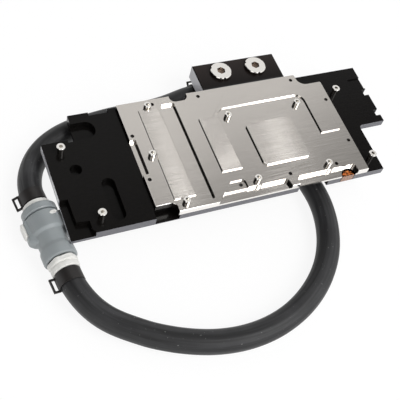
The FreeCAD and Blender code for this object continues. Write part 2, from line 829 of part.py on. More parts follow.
def couplingTail():
    # White collar with the barb for the short hose; its sleeve sits inside ring and body
    tail = revolved([(shortHoseStation, waterBore), (shortHoseStation, collarRadius - 0.5),
                     (shortHoseStation + 0.5, collarRadius), (ringStart, collarRadius),
                     (ringStart, couplingBore), (bodyStart + 5, couplingBore),
                     (bodyStart + 5, waterBore)])
    barb = revolved(barbProfile(barbLength))
    barb.rotate(V(0, 0, 0), Z, 180)
    barb.translate(V(shortHoseStation, 0, 0))
    return inPlace(tail.fuse(barb).removeSplitter())


def couplingInsert():
    nose = bodyEnd - noseLength
    groove = nose + 5.0
    tube = revolved([(nose, waterBore), (nose, couplingBore - 0.4), (nose + 0.4, couplingBore),
                     (groove, couplingBore), (groove, couplingBore - 1.4),
                     (groove + 2.2, couplingBore - 1.4), (groove + 2.2, couplingBore),
                     (bodyEnd, couplingBore), (bodyEnd, waterBore)])
    hexRadius = hexFlats / math.sqrt(3)
    corners = [V(bodyEnd, hexRadius * math.cos(math.radians(60 * i)),
                 hexRadius * math.sin(math.radians(60 * i))) for i in range(6)]
    flange = Part.Face(Part.makePolygon(corners + corners[:1]))
    flange = flange.extrude(V(longHoseStation - bodyEnd, 0, 0))
    trim = revolved([(bodyEnd, 0), (bodyEnd, hexRadius - 0.3), (longHoseStation - 0.8, hexRadius - 0.3),
                     (longHoseStation, hexFlats / 2 - 0.4), (longHoseStation, 0)])
    flange = flange.common(trim)
    flange = flange.cut(rod(waterBore, V(bodyEnd - 1, 0, 0), V(longHoseStation + 1, 0, 0)))
    barb = revolved(barbProfile(barbLength))
    barb.translate(V(longHoseStation, 0, 0))
    return inPlace(tube.fuse([flange, barb]).removeSplitter())


def couplingSeal():
    groove = bodyEnd - noseLength + 5.0
    ring = revolved([(groove + 0.2, couplingBore - 1.4), (groove + 0.2, couplingBore),
                     (groove + 2.0, couplingBore), (groove + 2.0, couplingBore - 1.4)])
    return inPlace(ring)


def shutoffValve():
    # Poppet that closes the body's bore when the insert is pulled
    start = bodyStart + 5
    poppet = revolved([(start, 0), (start, couplingBore), (start + 1.5, couplingBore),
                       (start + 1.5, 3.0), (start + 12.0, 3.0), (start + 14.0, 5.0),
                       (start + 16.0, 5.0), (start + 17.0, 4.0), (start + 17.0, 0)])
    holes = [rod(1.6, V(start - 1, 5.2 * math.cos(a), 5.2 * math.sin(a)),
                 V(start + 3, 5.2 * math.cos(a), 5.2 * math.sin(a)))
             for a in (math.radians(60 * i) for i in range(6))]
    return inPlace(poppet.cut(holes))


# Hoses and clamps

def shortHoseRoute():
    x, y = portPlaces()[0]
    start = V(x - elbowShoulder, y, hoseLevel)
    points = [(-48.0, portY, 0), (-70.0, 70.1, 0), (-91.5, 66.6, 0), (-112.5, 63.6, 0),
              (-133.0, 60.4, 0), (-152.0, 54.9, 0), (-167.4, 45.7, 0), (-178.6, 32.6, 1.2)]
    route = [start] + [V(px, py, hoseLevel + rise) for px, py, rise in points]
    return route + [couplingPoint(shortHoseStation - 17.5), couplingPoint(shortHoseStation)]


def longHoseRoute():
    x, y = portPlaces()[1]
    start = V(x, y - elbowShoulder, hoseLevel)
    points = [(x, 42.0, 0), (13.4, 20.0, 0), (17.2, -2.0, 0), (20.8, -24.0, 0), (22.8, -45.0, 0),
              (18.8, -67.0, 0), (9.4, -87.6, 0), (-5.4, -105.4, 0), (-25.0, -119.6, 0),
              (-47.6, -128.6, 0), (-71.0, -131.6, 0), (-93.5, -129.2, 0), (-114.0, -122.6, 0),
              (-132.5, -113.4, 0), (-149.0, -101.4, 0), (-163.6, -88.0, 1.2)]
    route = [start] + [V(px, py, hoseLevel + rise) for px, py, rise in points]
    return route + [couplingPoint(longHoseStation + 17.0), couplingPoint(longHoseStation)]


def routePath(points):
    # Straight runs joined by tangent arcs, each as large as its two runs allow
    edges = []
    radii = []
    last = points[0]
    for before, corner, after in zip(points, points[1:], points[2:]):
        back = (before - corner)
        ahead = (after - corner)
        reach = 0.45 * min(back.Length, ahead.Length)
        back.normalize()
        ahead.normalize()
        halfTurn = (math.pi - back.getAngle(ahead)) / 2
        radius = reach / math.tan(halfTurn)
        radii.append(radius)
        arcStart = corner + back * reach
        arcEnd = corner + ahead * reach
        bisector = back + ahead
        bisector.normalize()
        middle = corner + bisector * (radius / math.cos(halfTurn) - radius)
        edges.append(Part.LineSegment(last, arcStart).toShape())
        edges.append(Part.Arc(arcStart, middle, arcEnd).toShape())
        last = arcEnd
    edges.append(Part.LineSegment(last, points[-1]).toShape())
    return Part.Wire(edges), radii


def hose(name, points):
    path, radii = routePath(points)
    direction = points[1] - points[0]
    outer = path.makePipeShell([Part.Wire(Part.makeCircle(hoseRadius, points[0], direction))], True, True)
    bore = path.makePipeShell([Part.Wire(Part.makeCircle(hoseBore, points[0], direction))], True, True)
    tube = outer.cut(bore)
    section = math.pi * (hoseRadius ** 2 - hoseBore ** 2)
    print(name, "radii", [round(radius) for radius in radii])
    print(name, "length", round(path.Length, 1), "volume ratio",
          round(tube.Volume / (section * path.Length), 4))
    return tube


def springClamp():
    # Band round the hose with a wire-framed tail; built along X from station 0
    inner = hoseRadius
    outer = hoseRadius + clampWall
    band = revolved([(0, inner), (0, outer), (clampWidth, outer), (clampWidth, inner)])
    tail = placedBox(-tailOverhang, clampWidth + tailOverhang, -outer - tailReach, -inner - 0.1,
                     -tailWire / 2, tailWire / 2)
    window = placedBox(tailWire - tailOverhang, clampWidth + tailOverhang - tailWire,
                       -outer - tailReach + tailWire, -outer - 0.6, -tailWire, tailWire)
    tail = tail.cut(window)
    tail.rotate(V(0, -inner - 0.3, 0), V(1, 0, 0), -tailLean)
    hoseRoom = rod(inner, V(-2, 0, 0), V(clampWidth + 2, 0, 0))
    return band.fuse(tail).cut(hoseRoom).removeSplitter()


def clampAt(start, direction, turn=0.0):
    clamp = springClamp()
    aim = FreeCAD.Rotation(V(1, 0, 0), direction)
    spin = FreeCAD.Rotation(V(1, 0, 0), turn)
    clamp.Placement = FreeCAD.Placement(start, aim.multiply(spin))
    return clamp


def couplingClamp(station, forward, turn):
    towards = couplingPoint(station + forward) - couplingPoint(station)
    towards.normalize()
    return clampAt(couplingPoint(station) + towards * clampSetback, towards, turn)


def elbowClamp(place, direction):
    start = V(place[0], place[1], hoseLevel) + direction * (elbowShoulder + clampSetback)
    return clampAt(start, direction, 0.0)


# Standoffs and slug

def standoff(x, y):
    body = Part.makeCylinder(standoffRadius, standoffReach, V(x, y, plateTop))
    body = body.makeChamfer(0.35, edgesAtHeight(body, boardLevel))
    stud = Part.makeCylinder(standoffStud, standoffStudLength, V(x, y, plateTop - standoffStudLength))
    bore = Part.makeCylinder(standoffBore, standoffReach - 0.5, V(x, y, boardLevel - standoffReach + 0.5))
    return body.fuse(stud).cut(bore).removeSplitter()


def supportBase(x):
    return coverTop if x < plateLeft else plateBottom


def supportStandoff(x, y):
    base = supportBase(x)
    height = boardLevel - base
    shaft = Part.makeCylinder(supportRadius, height, V(x, y, base))
    head = Part.makeCylinder(supportFlange, supportFlangeHeight, V(x, y, boardLevel - supportFlangeHeight))
    head = head.makeChamfer(0.3, edgesAtHeight(head, boardLevel))
    stud = Part.makeCylinder(standoffStud, standoffStudLength, V(x, y, base - standoffStudLength))
    bore = Part.makeCylinder(standoffBore, supportBore, V(x, y, boardLevel - supportBore))
    return shaft.fuse([head, stud]).cut(bore).removeSplitter()


def standoffs(places, maker):
    return Part.makeCompound([maker(x, y) for x, y in places])


def copperSlug():
    bottom = slugTop - slugHeight
    slug = Part.makeCylinder(slugRadius, slugHeight, V(slugX, frontEdge, bottom))
    slug = slug.makeFillet(0.8, edgesAtHeight(slug, slugTop))
    front = placedBox(slugX - 20, slugX + 20, frontEdge - 20, frontEdge, bottom - 1, slugTop + 1)
    slot = placedBox(slugX - 20, slugX + 20, frontEdge + 1.6, frontEdge + 2.6, slugTop - 0.9, slugTop + 1)
    return slug.cut([front, slot])


def build():
    left, right = portPlaces()
    west = V(-1, 0, 0)
    south = V(0, -1, 0)
    parts = {
        "cold_plate": coldPlate(),
        "cover_body": coverBody(),
        "chamber_seal": chamberSeal(),
        "jet_plate": jetPlate(),
        "terminal_block": terminalBlock(),
        "terminal_seals": Part.makeCompound([terminalSeal(x) for x, _ in portPlaces()]),
        "terminal_screws": terminalScrews(),
        "cover_screws": coverScrews(),
        "port_plugs": portPlugs(),
        "plug_seals": plugSeals(),
        "adapter_seals": adapterSeals(),
        "die_standoffs": standoffs(diePlaces(), standoff),
        "board_standoffs": standoffs(boardPlaces, standoff),
        "support_standoffs": standoffs(supportPlaces, supportStandoff),
        "copper_slug": copperSlug(),
        "left_adapter": elbowAdapter(*left),
        "right_adapter": elbowAdapter(*right),
        "left_elbow": elbow(*left, west),
        "right_elbow": elbow(*right, south),
        "left_elbow_clamp": elbowClamp(left, west),
        "right_elbow_clamp": elbowClamp(right, south),
        "short_hose": hose("short hose", shortHoseRoute()),
        "long_hose": hose("long hose", longHoseRoute()),
        "coupling_body": couplingBody(),
        "coupling_ring": couplingRing(),
        "coupling_tail": couplingTail(),
        "coupling_insert": couplingInsert(),
        "coupling_seal": couplingSeal(),
        "shutoff_valve": shutoffValve(),
        "release_mark": inPlace(releaseMark(0.15)),
        "thumb_latch": thumbLatch(),
        "short_hose_clamp": couplingClamp(shortHoseStation, -1, 186.0),
        "long_hose_clamp": couplingClamp(longHoseStation, 1, 20.0),
    }
    os.makedirs("parts", exist_ok=True)
    for name, shape in parts.items():
        print(name, len(shape.Solids), shape.isValid(), round(shape.Volume))
        shape.exportStep(os.path.join("parts", name + ".step"))


build()
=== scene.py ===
import math

import bpy
import numpy as np
from mathutils import Matrix, Vector


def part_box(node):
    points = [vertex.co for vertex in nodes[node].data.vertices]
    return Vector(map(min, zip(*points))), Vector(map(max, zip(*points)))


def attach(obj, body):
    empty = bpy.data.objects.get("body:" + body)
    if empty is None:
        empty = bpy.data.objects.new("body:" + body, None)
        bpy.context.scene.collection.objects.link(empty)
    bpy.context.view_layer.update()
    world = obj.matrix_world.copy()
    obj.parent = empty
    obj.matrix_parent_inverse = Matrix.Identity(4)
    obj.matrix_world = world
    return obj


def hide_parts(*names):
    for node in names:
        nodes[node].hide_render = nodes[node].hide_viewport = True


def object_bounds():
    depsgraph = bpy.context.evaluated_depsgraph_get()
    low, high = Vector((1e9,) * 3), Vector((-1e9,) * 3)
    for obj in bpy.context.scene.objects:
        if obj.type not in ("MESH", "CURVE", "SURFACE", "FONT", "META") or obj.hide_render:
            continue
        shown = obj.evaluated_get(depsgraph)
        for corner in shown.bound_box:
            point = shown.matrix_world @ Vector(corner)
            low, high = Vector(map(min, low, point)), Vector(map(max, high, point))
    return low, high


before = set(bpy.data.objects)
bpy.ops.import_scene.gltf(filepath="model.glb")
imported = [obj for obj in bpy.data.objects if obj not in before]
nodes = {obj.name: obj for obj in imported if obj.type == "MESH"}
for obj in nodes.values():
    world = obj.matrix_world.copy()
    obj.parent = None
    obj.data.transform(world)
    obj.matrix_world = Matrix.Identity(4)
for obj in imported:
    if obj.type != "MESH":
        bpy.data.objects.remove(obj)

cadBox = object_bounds()
scene = bpy.context.scene
scene.view_settings.view_transform = "Standard"
print("frame loaded with", len(nodes), "nodes")


# Small helpers for colours, node trees and meshes

def linearColour(hexText):
    # sRGB hex to linear RGBA
    parts = [int(hexText[i:i + 2], 16) / 255 for i in (1, 3, 5)]
    return [p / 12.92 if p <= 0.04045 else ((p + 0.055) / 1.055) ** 2.4 for p in parts] + [1.0]


def addNode(tree, kind, settings=None, links=None):
    # settings are the node's own choices; links holds a value or another node's socket per input
    node = tree.nodes.new(kind)
    for name, value in (settings or {}).items():
        setattr(node, name, value)
    for name, value in (links or {}).items():
        if isinstance(value, bpy.types.NodeSocket):
            tree.links.new(value, node.inputs[name])
        else:
            node.inputs[name].default_value = value
    return node


def newMaterial(name, colour, metallic, roughness, extra=None):
    material = bpy.data.materials.new(name)
    material.use_nodes = True
    shader = material.node_tree.nodes["Principled BSDF"]
    values = {"Base Color": linearColour(colour), "Metallic": metallic, "Roughness": roughness}
    values.update(extra or {})
    for key, value in values.items():
        shader.inputs[key].default_value = value
    material.diffuse_color = linearColour(colour)
    return material, material.node_tree, shader


def dress(material, *names):
    for name in names:
        mesh = nodes[name].data
        if not mesh.materials:
            mesh.materials.append(material)
        for i in range(len(mesh.materials)):
            mesh.materials[i] = material


def meshPiece(name, points, faces, material, body="block"):
    mesh = bpy.data.meshes.new(name)
    mesh.from_pydata(points.tolist(), [], faces)
    mesh.materials.append(material)
    mesh.polygons.foreach_set("use_smooth", [True] * len(mesh.polygons))
    mesh.update()
    piece = bpy.data.objects.new(name, mesh)
    scene.collection.objects.link(piece)
    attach(piece, body)
    return piece


def gridFaces(rows, columns, wrapRows=False):
    # Quads of a rows x columns grid, closed round the columns, and round the rows when asked
    row = np.arange(rows if wrapRows else rows - 1)[:, None]
    column = np.arange(columns)[None, :]
    nextRow = (row + 1) % rows
    nextColumn = (column + 1) % columns
    quads = np.stack([row * columns + column, row * columns + nextColumn,
                      nextRow * columns + nextColumn, nextRow * columns + column], -1)
    return quads.reshape(-1, 4).tolist()


# Camera, calibrated against the die's hole square and the plate's corners

cameraView = {
    "place": (-0.2605, -0.2817, 0.4447),
    "right": (0.9178, -0.3514, 0.1847),
    "down": (-0.2052, -0.8182, -0.5370),
    "ahead": (0.3398, 0.4550, -0.8231),
    "lens": 70.62,
}


def placeCamera():
    data = bpy.data.cameras.new("studioCamera")
    data.sensor_width = 36
    data.lens = cameraView["lens"]
    data.clip_start = 0.02
    data.clip_end = 20
    camera = bpy.data.objects.new("studioCamera", data)
    scene.collection.objects.link(camera)
    turn = Matrix((cameraView["right"], [-v for v in cameraView["down"]],
                   [-v for v in cameraView["ahead"]])).transposed()
    camera.matrix_world = Matrix.LocRotScale(Vector(cameraView["place"]), turn.to_quaternion(), None)
    scene.camera = camera


placeCamera()
print("camera placed")


# Hoses: black rubber tube, 17 mm outside, lying on the table

hoseSize = {
    "radius": 0.0085,
    "level": -0.0246,   # height of the lying hoses' axis
    "shortLength": 0.1951,
    "longLength": 0.3876,
}

# Route points: X, Y and the rise above the lying level
shortRoute = [
    (-0.02755, 0.0715, 0), (-0.0355, 0.0715, 0), (-0.0473, 0.0696, 0), (-0.0588, 0.0666, 0),
    (-0.0706, 0.0646, 0), (-0.0826, 0.0639, 0), (-0.0970, 0.0637, 0), (-0.1125, 0.0630, 0),
    (-0.1330, 0.0602, 0), (-0.1430, 0.0579, 0), (-0.1526, 0.0543, 0), (-0.16225, 0.04874, 0),
    (-0.17084, 0.04043, 0.0002), (-0.17736, 0.03040, 0.0012), (-0.18145, 0.01916, 0.0029),
    (-0.18291, 0.00729, 0.0040), (-0.18195, -0.00076, 0.0040)]

longRoute = [
    (0.01155, 0.0620, 0), (0.01155, 0.0420, 0), (0.0134, 0.0200, 0), (0.0172, -0.0020, 0),
    (0.0208, -0.0240, 0), (0.0228, -0.0450, 0), (0.0188, -0.0670, 0), (0.0094, -0.0876, 0),
    (-0.0054, -0.1054, 0), (-0.0250, -0.1196, 0), (-0.0476, -0.1286, 0), (-0.0710, -0.1316, 0),
    (-0.0935, -0.1292, 0), (-0.1140, -0.1226, 0), (-0.1325, -0.1134, 0), (-0.1432, -0.1060, 0),
    (-0.15353, -0.09811, 0), (-0.16083, -0.09081, 0.0003), (-0.16691, -0.08245, 0.0013),
    (-0.17152, -0.07320, 0.0029), (-0.17450, -0.06332, 0.0040), (-0.17544, -0.05537, 0.0040)]


def hoseCurve(name, route, material):
    curve = bpy.data.curves.new(name, "CURVE")
    curve.dimensions = "3D"
    curve.bevel_depth = hoseSize["radius"]
    curve.bevel_resolution = 8
    curve.resolution_u = 14
    curve.use_fill_caps = True
    spline = curve.splines.new("NURBS")
    spline.points.add(len(route) - 1)
    for point, (x, y, rise) in zip(spline.points, route):
        point.co = (x, y, hoseSize["level"] + rise, 1)
    spline.order_u = 3
    spline.use_endpoint_u = True
    curve.materials.append(material)
    piece = bpy.data.objects.new(name, curve)
    scene.collection.objects.link(piece)
    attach(piece, "block")
    return piece


hoseLook = {
    "streaks": (2.0, 9.0, 1.0),   # drawing marks, per length and per turn of the hose's own map
    "streakDepth": 0.0002,
    "patchesPerMetre": 55.0,      # worn patches of about 18 mm
    "specksPerMetre": 700.0,      # dust is finer than this; drawn at 1.4 mm so that it shows
}


def hoseRubber():
    # Extruded rubber: satin, lengthwise drawing marks, a little pale dust
    material, tree, shader = newMaterial("extrudedRubberHose", "#1E1E1F", 0.0, 0.45,
                                         {"IOR": 1.52, "Specular IOR Level": 0.42})
    where = addNode(tree, "ShaderNodeTexCoord")
    streakMap = addNode(tree, "ShaderNodeMapping",
                        links={"Vector": where.outputs["UV"], "Scale": hoseLook["streaks"]})
    streaks = addNode(tree, "ShaderNodeTexNoise",
                      links={"Vector": streakMap.outputs["Vector"], "Scale": 2.0, "Detail": 4.0})
    drawn = addNode(tree, "ShaderNodeMapRange",
                    links={"Value": streaks.outputs["Fac"], "From Min": 0.35, "From Max": 0.65})
    cloud = addNode(tree, "ShaderNodeTexNoise",
                    links={"Vector": where.outputs["Object"], "Scale": hoseLook["patchesPerMetre"],
                           "Detail": 4.0})
    dust = addNode(tree, "ShaderNodeTexNoise",
                   links={"Vector": where.outputs["Object"], "Scale": hoseLook["specksPerMetre"],
                          "Detail": 1.0})
    speck = addNode(tree, "ShaderNodeMapRange",
                    links={"Value": dust.outputs["Fac"], "From Min": 0.735, "From Max": 0.78,
                           "To Max": 0.5})
    worn = addNode(tree, "ShaderNodeMath", {"operation": "MULTIPLY"},
                   {0: drawn.outputs["Result"], 1: cloud.outputs["Fac"]})
    blend = addNode(tree, "ShaderNodeMix", {"data_type": "RGBA"},
                    {0: worn.outputs[0], 6: linearColour("#171718"), 7: linearColour("#434345")})
    dusty = addNode(tree, "ShaderNodeMix", {"data_type": "RGBA"},
                    {0: speck.outputs["Result"], 6: blend.outputs[2], 7: linearColour("#8E8E8C")})
    tree.links.new(dusty.outputs[2], shader.inputs["Base Color"])
    rough = addNode(tree, "ShaderNodeMapRange",
                    links={"Value": drawn.outputs["Result"], "To Min": 0.58, "To Max": 0.4})
    tree.links.new(rough.outputs["Result"], shader.inputs["Roughness"])
    bump = addNode(tree, "ShaderNodeBump",
                   links={"Height": streaks.outputs["Fac"], "Strength": 0.25,
                          "Distance": hoseLook["streakDepth"]})
    tree.links.new(bump.outputs["Normal"], shader.inputs["Normal"])
    return material


rubber = hoseRubber()
shortHose = hoseCurve("shortHoseTube", shortRoute, rubber)
longHose = hoseCurve("longHoseTube", longRoute, rubber)
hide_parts("short_hose")
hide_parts("long_hose")
print("hoses laid")


# Finishes

nickelLook = {
    "padStart": -0.00125,       # pads stand above this height of the plate's own frame
    "pedestalStart": -0.0002,
    "powerPadEnd": -0.07,       # the power pad lies left of this line
    "memoryPadEnd": -0.0355,    # and the left memory pad lies left of this one
    "padRoughness": 0.18,
    "fieldRoughness": 0.09,
    "linesPerMetre": 1000.0,    # brush lines are about 0.1 mm apart; drawn at 1 mm so that they show
    "lineDepth": 0.00018,
    "padLines": 0.35,
    "fieldLines": 0.07,
    "pedestalCrown": 1.2,       # lean per metre from the middle
    "powerPadMiddle": -0.086,
    "powerPadCrown": 1.5,
    "memoryPadFlat": 0.012,     # the left memory pad twists forward of this line
    "memoryPadTwist": 1.8,
}


def nickelPlate():
    # Bright nickel over copper, brushed along X: sharp across, blurred along Y, more so on the pads
    material, tree, shader = newMaterial("brushedNickelPlate", "#C6C1BB", 1.0, 0.16,
                                         {"Anisotropic": 1.0})
    where = addNode(tree, "ShaderNodeTexCoord")
    parts = addNode(tree, "ShaderNodeSeparateXYZ", links={"Vector": where.outputs["Object"]})
    onPad = addNode(tree, "ShaderNodeMath", {"operation": "GREATER_THAN"},
                    {0: parts.outputs["Z"], 1: nickelLook["padStart"]})
    onPedestal = addNode(tree, "ShaderNodeMath", {"operation": "GREATER_THAN"},
                         {0: parts.outputs["Z"], 1: nickelLook["pedestalStart"]})
    onPower = addNode(tree, "ShaderNodeMath", {"operation": "LESS_THAN"},
                      {0: parts.outputs["X"], 1: nickelLook["powerPadEnd"]})
    onLeftMemory = addNode(tree, "ShaderNodeMath", {"operation": "LESS_THAN"},
                           {0: parts.outputs["X"], 1: nickelLook["memoryPadEnd"]})
    onLeftPads = addNode(tree, "ShaderNodeMath", {"operation": "MULTIPLY"},
                         {0: onPad.outputs[0], 1: onLeftMemory.outputs[0]})
    brushed = addNode(tree, "ShaderNodeMath", {"operation": "ADD"},
                      {0: onLeftPads.outputs[0], 1: onPedestal.outputs[0]})
    lineMap = addNode(tree, "ShaderNodeMapping",
                      links={"Vector": where.outputs["Object"],
                             "Scale": (40.0, nickelLook["linesPerMetre"], 40.0)})
    lines = addNode(tree, "ShaderNodeTexNoise",
                    links={"Vector": lineMap.outputs["Vector"], "Scale": 1.0, "Detail": 3.0})
    base = addNode(tree, "ShaderNodeMix", {"data_type": "FLOAT"},
                   {0: brushed.outputs[0], 2: nickelLook["fieldRoughness"],
                    3: nickelLook["padRoughness"]})
    drift = addNode(tree, "ShaderNodeMapRange",
                    links={"Value": lines.outputs["Fac"], "From Min": 0.3, "From Max": 0.7,
                           "To Min": -0.02, "To Max": 0.03})
    rough = addNode(tree, "ShaderNodeMath", {"operation": "ADD"},
                    {0: base.outputs[0], 1: drift.outputs["Result"]})
    tree.links.new(rough.outputs[0], shader.inputs["Roughness"])
    tone = addNode(tree, "ShaderNodeMix", {"data_type": "RGBA"},
                   {0: lines.outputs["Fac"], 6: linearColour("#C2BDB7"), 7: linearColour("#D2CDC7")})
    # Walls facing the front are painted brighter than the brushed faces: a painted reflection of the
    # bright front
    facing = addNode(tree, "ShaderNodeSeparateXYZ", links={"Vector": where.outputs["Normal"]})
    paintedFrontSheenMask = addNode(tree, "ShaderNodeMath", {"operation": "LESS_THAN"},
                   {0: facing.outputs["Y"], 1: -0.7})
    withPaintedFrontSheen = addNode(tree, "ShaderNodeMix", {"data_type": "RGBA"},
                     {0: paintedFrontSheenMask.outputs[0], 6: tone.outputs[2], 7: linearColour("#F8F5F1")})
    tree.links.new(withPaintedFrontSheen.outputs[2], shader.inputs["Base Color"])
    # Fly-cut pads lean by a degree or so: crowned along X, the left memory pad twisted along Y
    pedestalLean = addNode(tree, "ShaderNodeMath", {"operation": "MULTIPLY"},
                           {0: parts.outputs["X"], 1: nickelLook["pedestalCrown"]})
    powerOffset = addNode(tree, "ShaderNodeMath", {"operation": "SUBTRACT"},
                          {0: parts.outputs["X"], 1: nickelLook["powerPadMiddle"]})
    powerLean = addNode(tree, "ShaderNodeMath", {"operation": "MULTIPLY"},
                        {0: powerOffset.outputs[0], 1: nickelLook["powerPadCrown"]})
    memoryOffset = addNode(tree, "ShaderNodeMath", {"operation": "SUBTRACT"},
                           {0: nickelLook["memoryPadFlat"], 1: parts.outputs["Y"]})
    memoryLean = addNode(tree, "ShaderNodeMath", {"operation": "MULTIPLY", "use_clamp": True},
                         {0: memoryOffset.outputs[0], 1: nickelLook["memoryPadTwist"]})
    leftLean = addNode(tree, "ShaderNodeMix", {"data_type": "FLOAT"},
                       {0: onPower.outputs[0], 2: memoryLean.outputs[0], 3: powerLean.outputs[0]})
    sideLean = addNode(tree, "ShaderNodeMath", {"operation": "MULTIPLY"},
                       {0: leftLean.outputs[0], 1: onLeftMemory.outputs[0]})
    padLean = addNode(tree, "ShaderNodeMix", {"data_type": "FLOAT"},
                      {0: onPedestal.outputs[0], 2: sideLean.outputs[0], 3: pedestalLean.outputs[0]})
    lean = addNode(tree, "ShaderNodeMath", {"operation": "MULTIPLY"},
                   {0: padLean.outputs[0], 1: onPad.outputs[0]})
    leanAway = addNode(tree, "ShaderNodeCombineXYZ", links={"X": lean.outputs[0]})
    leaning = addNode(tree, "ShaderNodeVectorMath", {"operation": "ADD"},
                      {0: where.outputs["Normal"], 1: leanAway.outputs["Vector"]})
    crown = addNode(tree, "ShaderNodeVectorMath", {"operation": "NORMALIZE"}, {0: leaning.outputs[0]})
    depth = addNode(tree, "ShaderNodeMix", {"data_type": "FLOAT"},
                    {0: brushed.outputs[0], 2: nickelLook["fieldLines"], 3: nickelLook["padLines"]})
    fine = addNode(tree, "ShaderNodeBump",
                   links={"Height": lines.outputs["Fac"], "Distance": nickelLook["lineDepth"],
                          "Strength": depth.outputs[0], "Normal": crown.outputs[0]})
    tree.links.new(fine.outputs["Normal"], shader.inputs["Normal"])
    across = addNode(tree, "ShaderNodeCombineXYZ", links={"Y": 1.0, "Z": 0.05})
    tree.links.new(across.outputs["Vector"], shader.inputs["Tangent"])
    return material


partLook = {
    "plugFade": 0.054,          # standoffs lie before this line, plugs behind the next
    "plugStart": 0.058,
    "standoffTip": 0.09,
    "plugTip": 0.02,
    "residueTop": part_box("port_plugs")[1][2] - 0.0004,
    "residueEnd": -0.0080,
    "ringsPerMetre": 2600.0,    # turning rings are about 0.1 mm apart; drawn at 0.4 mm so that they show
}


def nickelPart():
    # Turned brass under bright nickel: fine rings spread its reflections up and down
    material, tree, shader = newMaterial("turnedNickelBrass", "#E8E5E0", 1.0, 0.14,
                                         {"Anisotropic": 0.5, "Anisotropic Rotation": 0.25})
    where = addNode(tree, "ShaderNodeTexCoord")
    ringMap = addNode(tree, "ShaderNodeMapping",
                      links={"Vector": where.outputs["Object"],
                             "Scale": (40.0, 40.0, partLook["ringsPerMetre"])})
    rings = addNode(tree, "ShaderNodeTexNoise",
                    links={"Vector": ringMap.outputs["Vector"], "Scale": 1.0, "Detail": 2.0})
    rough = addNode(tree, "ShaderNodeMapRange",
                    links={"Value": rings.outputs["Fac"], "To Min": 0.08, "To Max": 0.2})
    tree.links.new(rough.outputs["Result"], shader.inputs["Roughness"])
    bump = addNode(tree, "ShaderNodeBump",
                   links={"Height": rings.outputs["Fac"], "Strength": 0.12, "Distance": 0.0001})
    tree.links.new(bump.outputs["Normal"], shader.inputs["Normal"])
    # Turned ends stand a few degrees out of true and catch the bright wall; the plugs less so
    parts = addNode(tree, "ShaderNodeSeparateXYZ", links={"Vector": where.outputs["Object"]})
    facing = addNode(tree, "ShaderNodeSeparateXYZ", links={"Vector": where.outputs["Normal"]})
    upward = addNode(tree, "ShaderNodeMath", {"operation": "GREATER_THAN"},
                     {0: facing.outputs["Z"], 1: 0.9})
    amount = addNode(tree, "ShaderNodeMapRange",
                     links={"Value": parts.outputs["Y"], "From Min": partLook["plugFade"],
                            "From Max": partLook["plugStart"], "To Min": partLook["standoffTip"],
                            "To Max": partLook["plugTip"]})
    tip = addNode(tree, "ShaderNodeMath", {"operation": "MULTIPLY"},
                  {0: amount.outputs["Result"], 1: upward.outputs[0]})
    tipAway = addNode(tree, "ShaderNodeCombineXYZ", links={"Y": tip.outputs[0]})
    tipped = addNode(tree, "ShaderNodeVectorMath", {"operation": "ADD"},
                     {0: where.outputs["Normal"], 1: tipAway.outputs["Vector"]})
    trued = addNode(tree, "ShaderNodeVectorMath", {"operation": "NORMALIZE"}, {0: tipped.outputs[0]})
    tree.links.new(trued.outputs[0], bump.inputs["Normal"])
    # Below their tops the plugs are dull with flux residue
    below = addNode(tree, "ShaderNodeMath", {"operation": "LESS_THAN"},
                    {0: parts.outputs["Z"], 1: partLook["residueTop"]})
    above = addNode(tree, "ShaderNodeMath", {"operation": "GREATER_THAN"},
                    {0: parts.outputs["Z"], 1: partLook["residueEnd"]})
    within = addNode(tree, "ShaderNodeMath", {"operation": "MULTIPLY"},
                     {0: below.outputs[0], 1: above.outputs[0]})
    onPlug = addNode(tree, "ShaderNodeMath", {"operation": "GREATER_THAN"},
                     {0: parts.outputs["Y"], 1: partLook["plugStart"]})
    residue = addNode(tree, "ShaderNodeMath", {"operation": "MULTIPLY"},
                      {0: within.outputs[0], 1: onPlug.outputs[0]})
    tone = addNode(tree, "ShaderNodeMix", {"data_type": "RGBA"},
                   {0: residue.outputs[0], 6: linearColour("#E8E5E0"), 7: linearColour("#9C928A")})
    tree.links.new(tone.outputs[2], shader.inputs["Base Color"])
    around = addNode(tree, "ShaderNodeTangent", {"direction_type": "RADIAL", "axis": "Z"})
    tree.links.new(around.outputs["Tangent"], shader.inputs["Tangent"])
    return material


coverLow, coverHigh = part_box("cover_body")
acetalLook = {
    "skin": 0.0002,             # the milled outer faces lie within this of the cover's box
    "tabStart": 0.0742,         # where the right tab starts, and its front edge
    "tabFront": 0.0021,
    "blockStart": 0.0577,       # the terminal block lies behind this line
    "blockPalest": 0.0846,      # and its top grows paler up to this one
    "scuffsPerMetre": 900.0,    # tool lines are about 0.2 mm apart; drawn at 1.1 mm so that they show
}


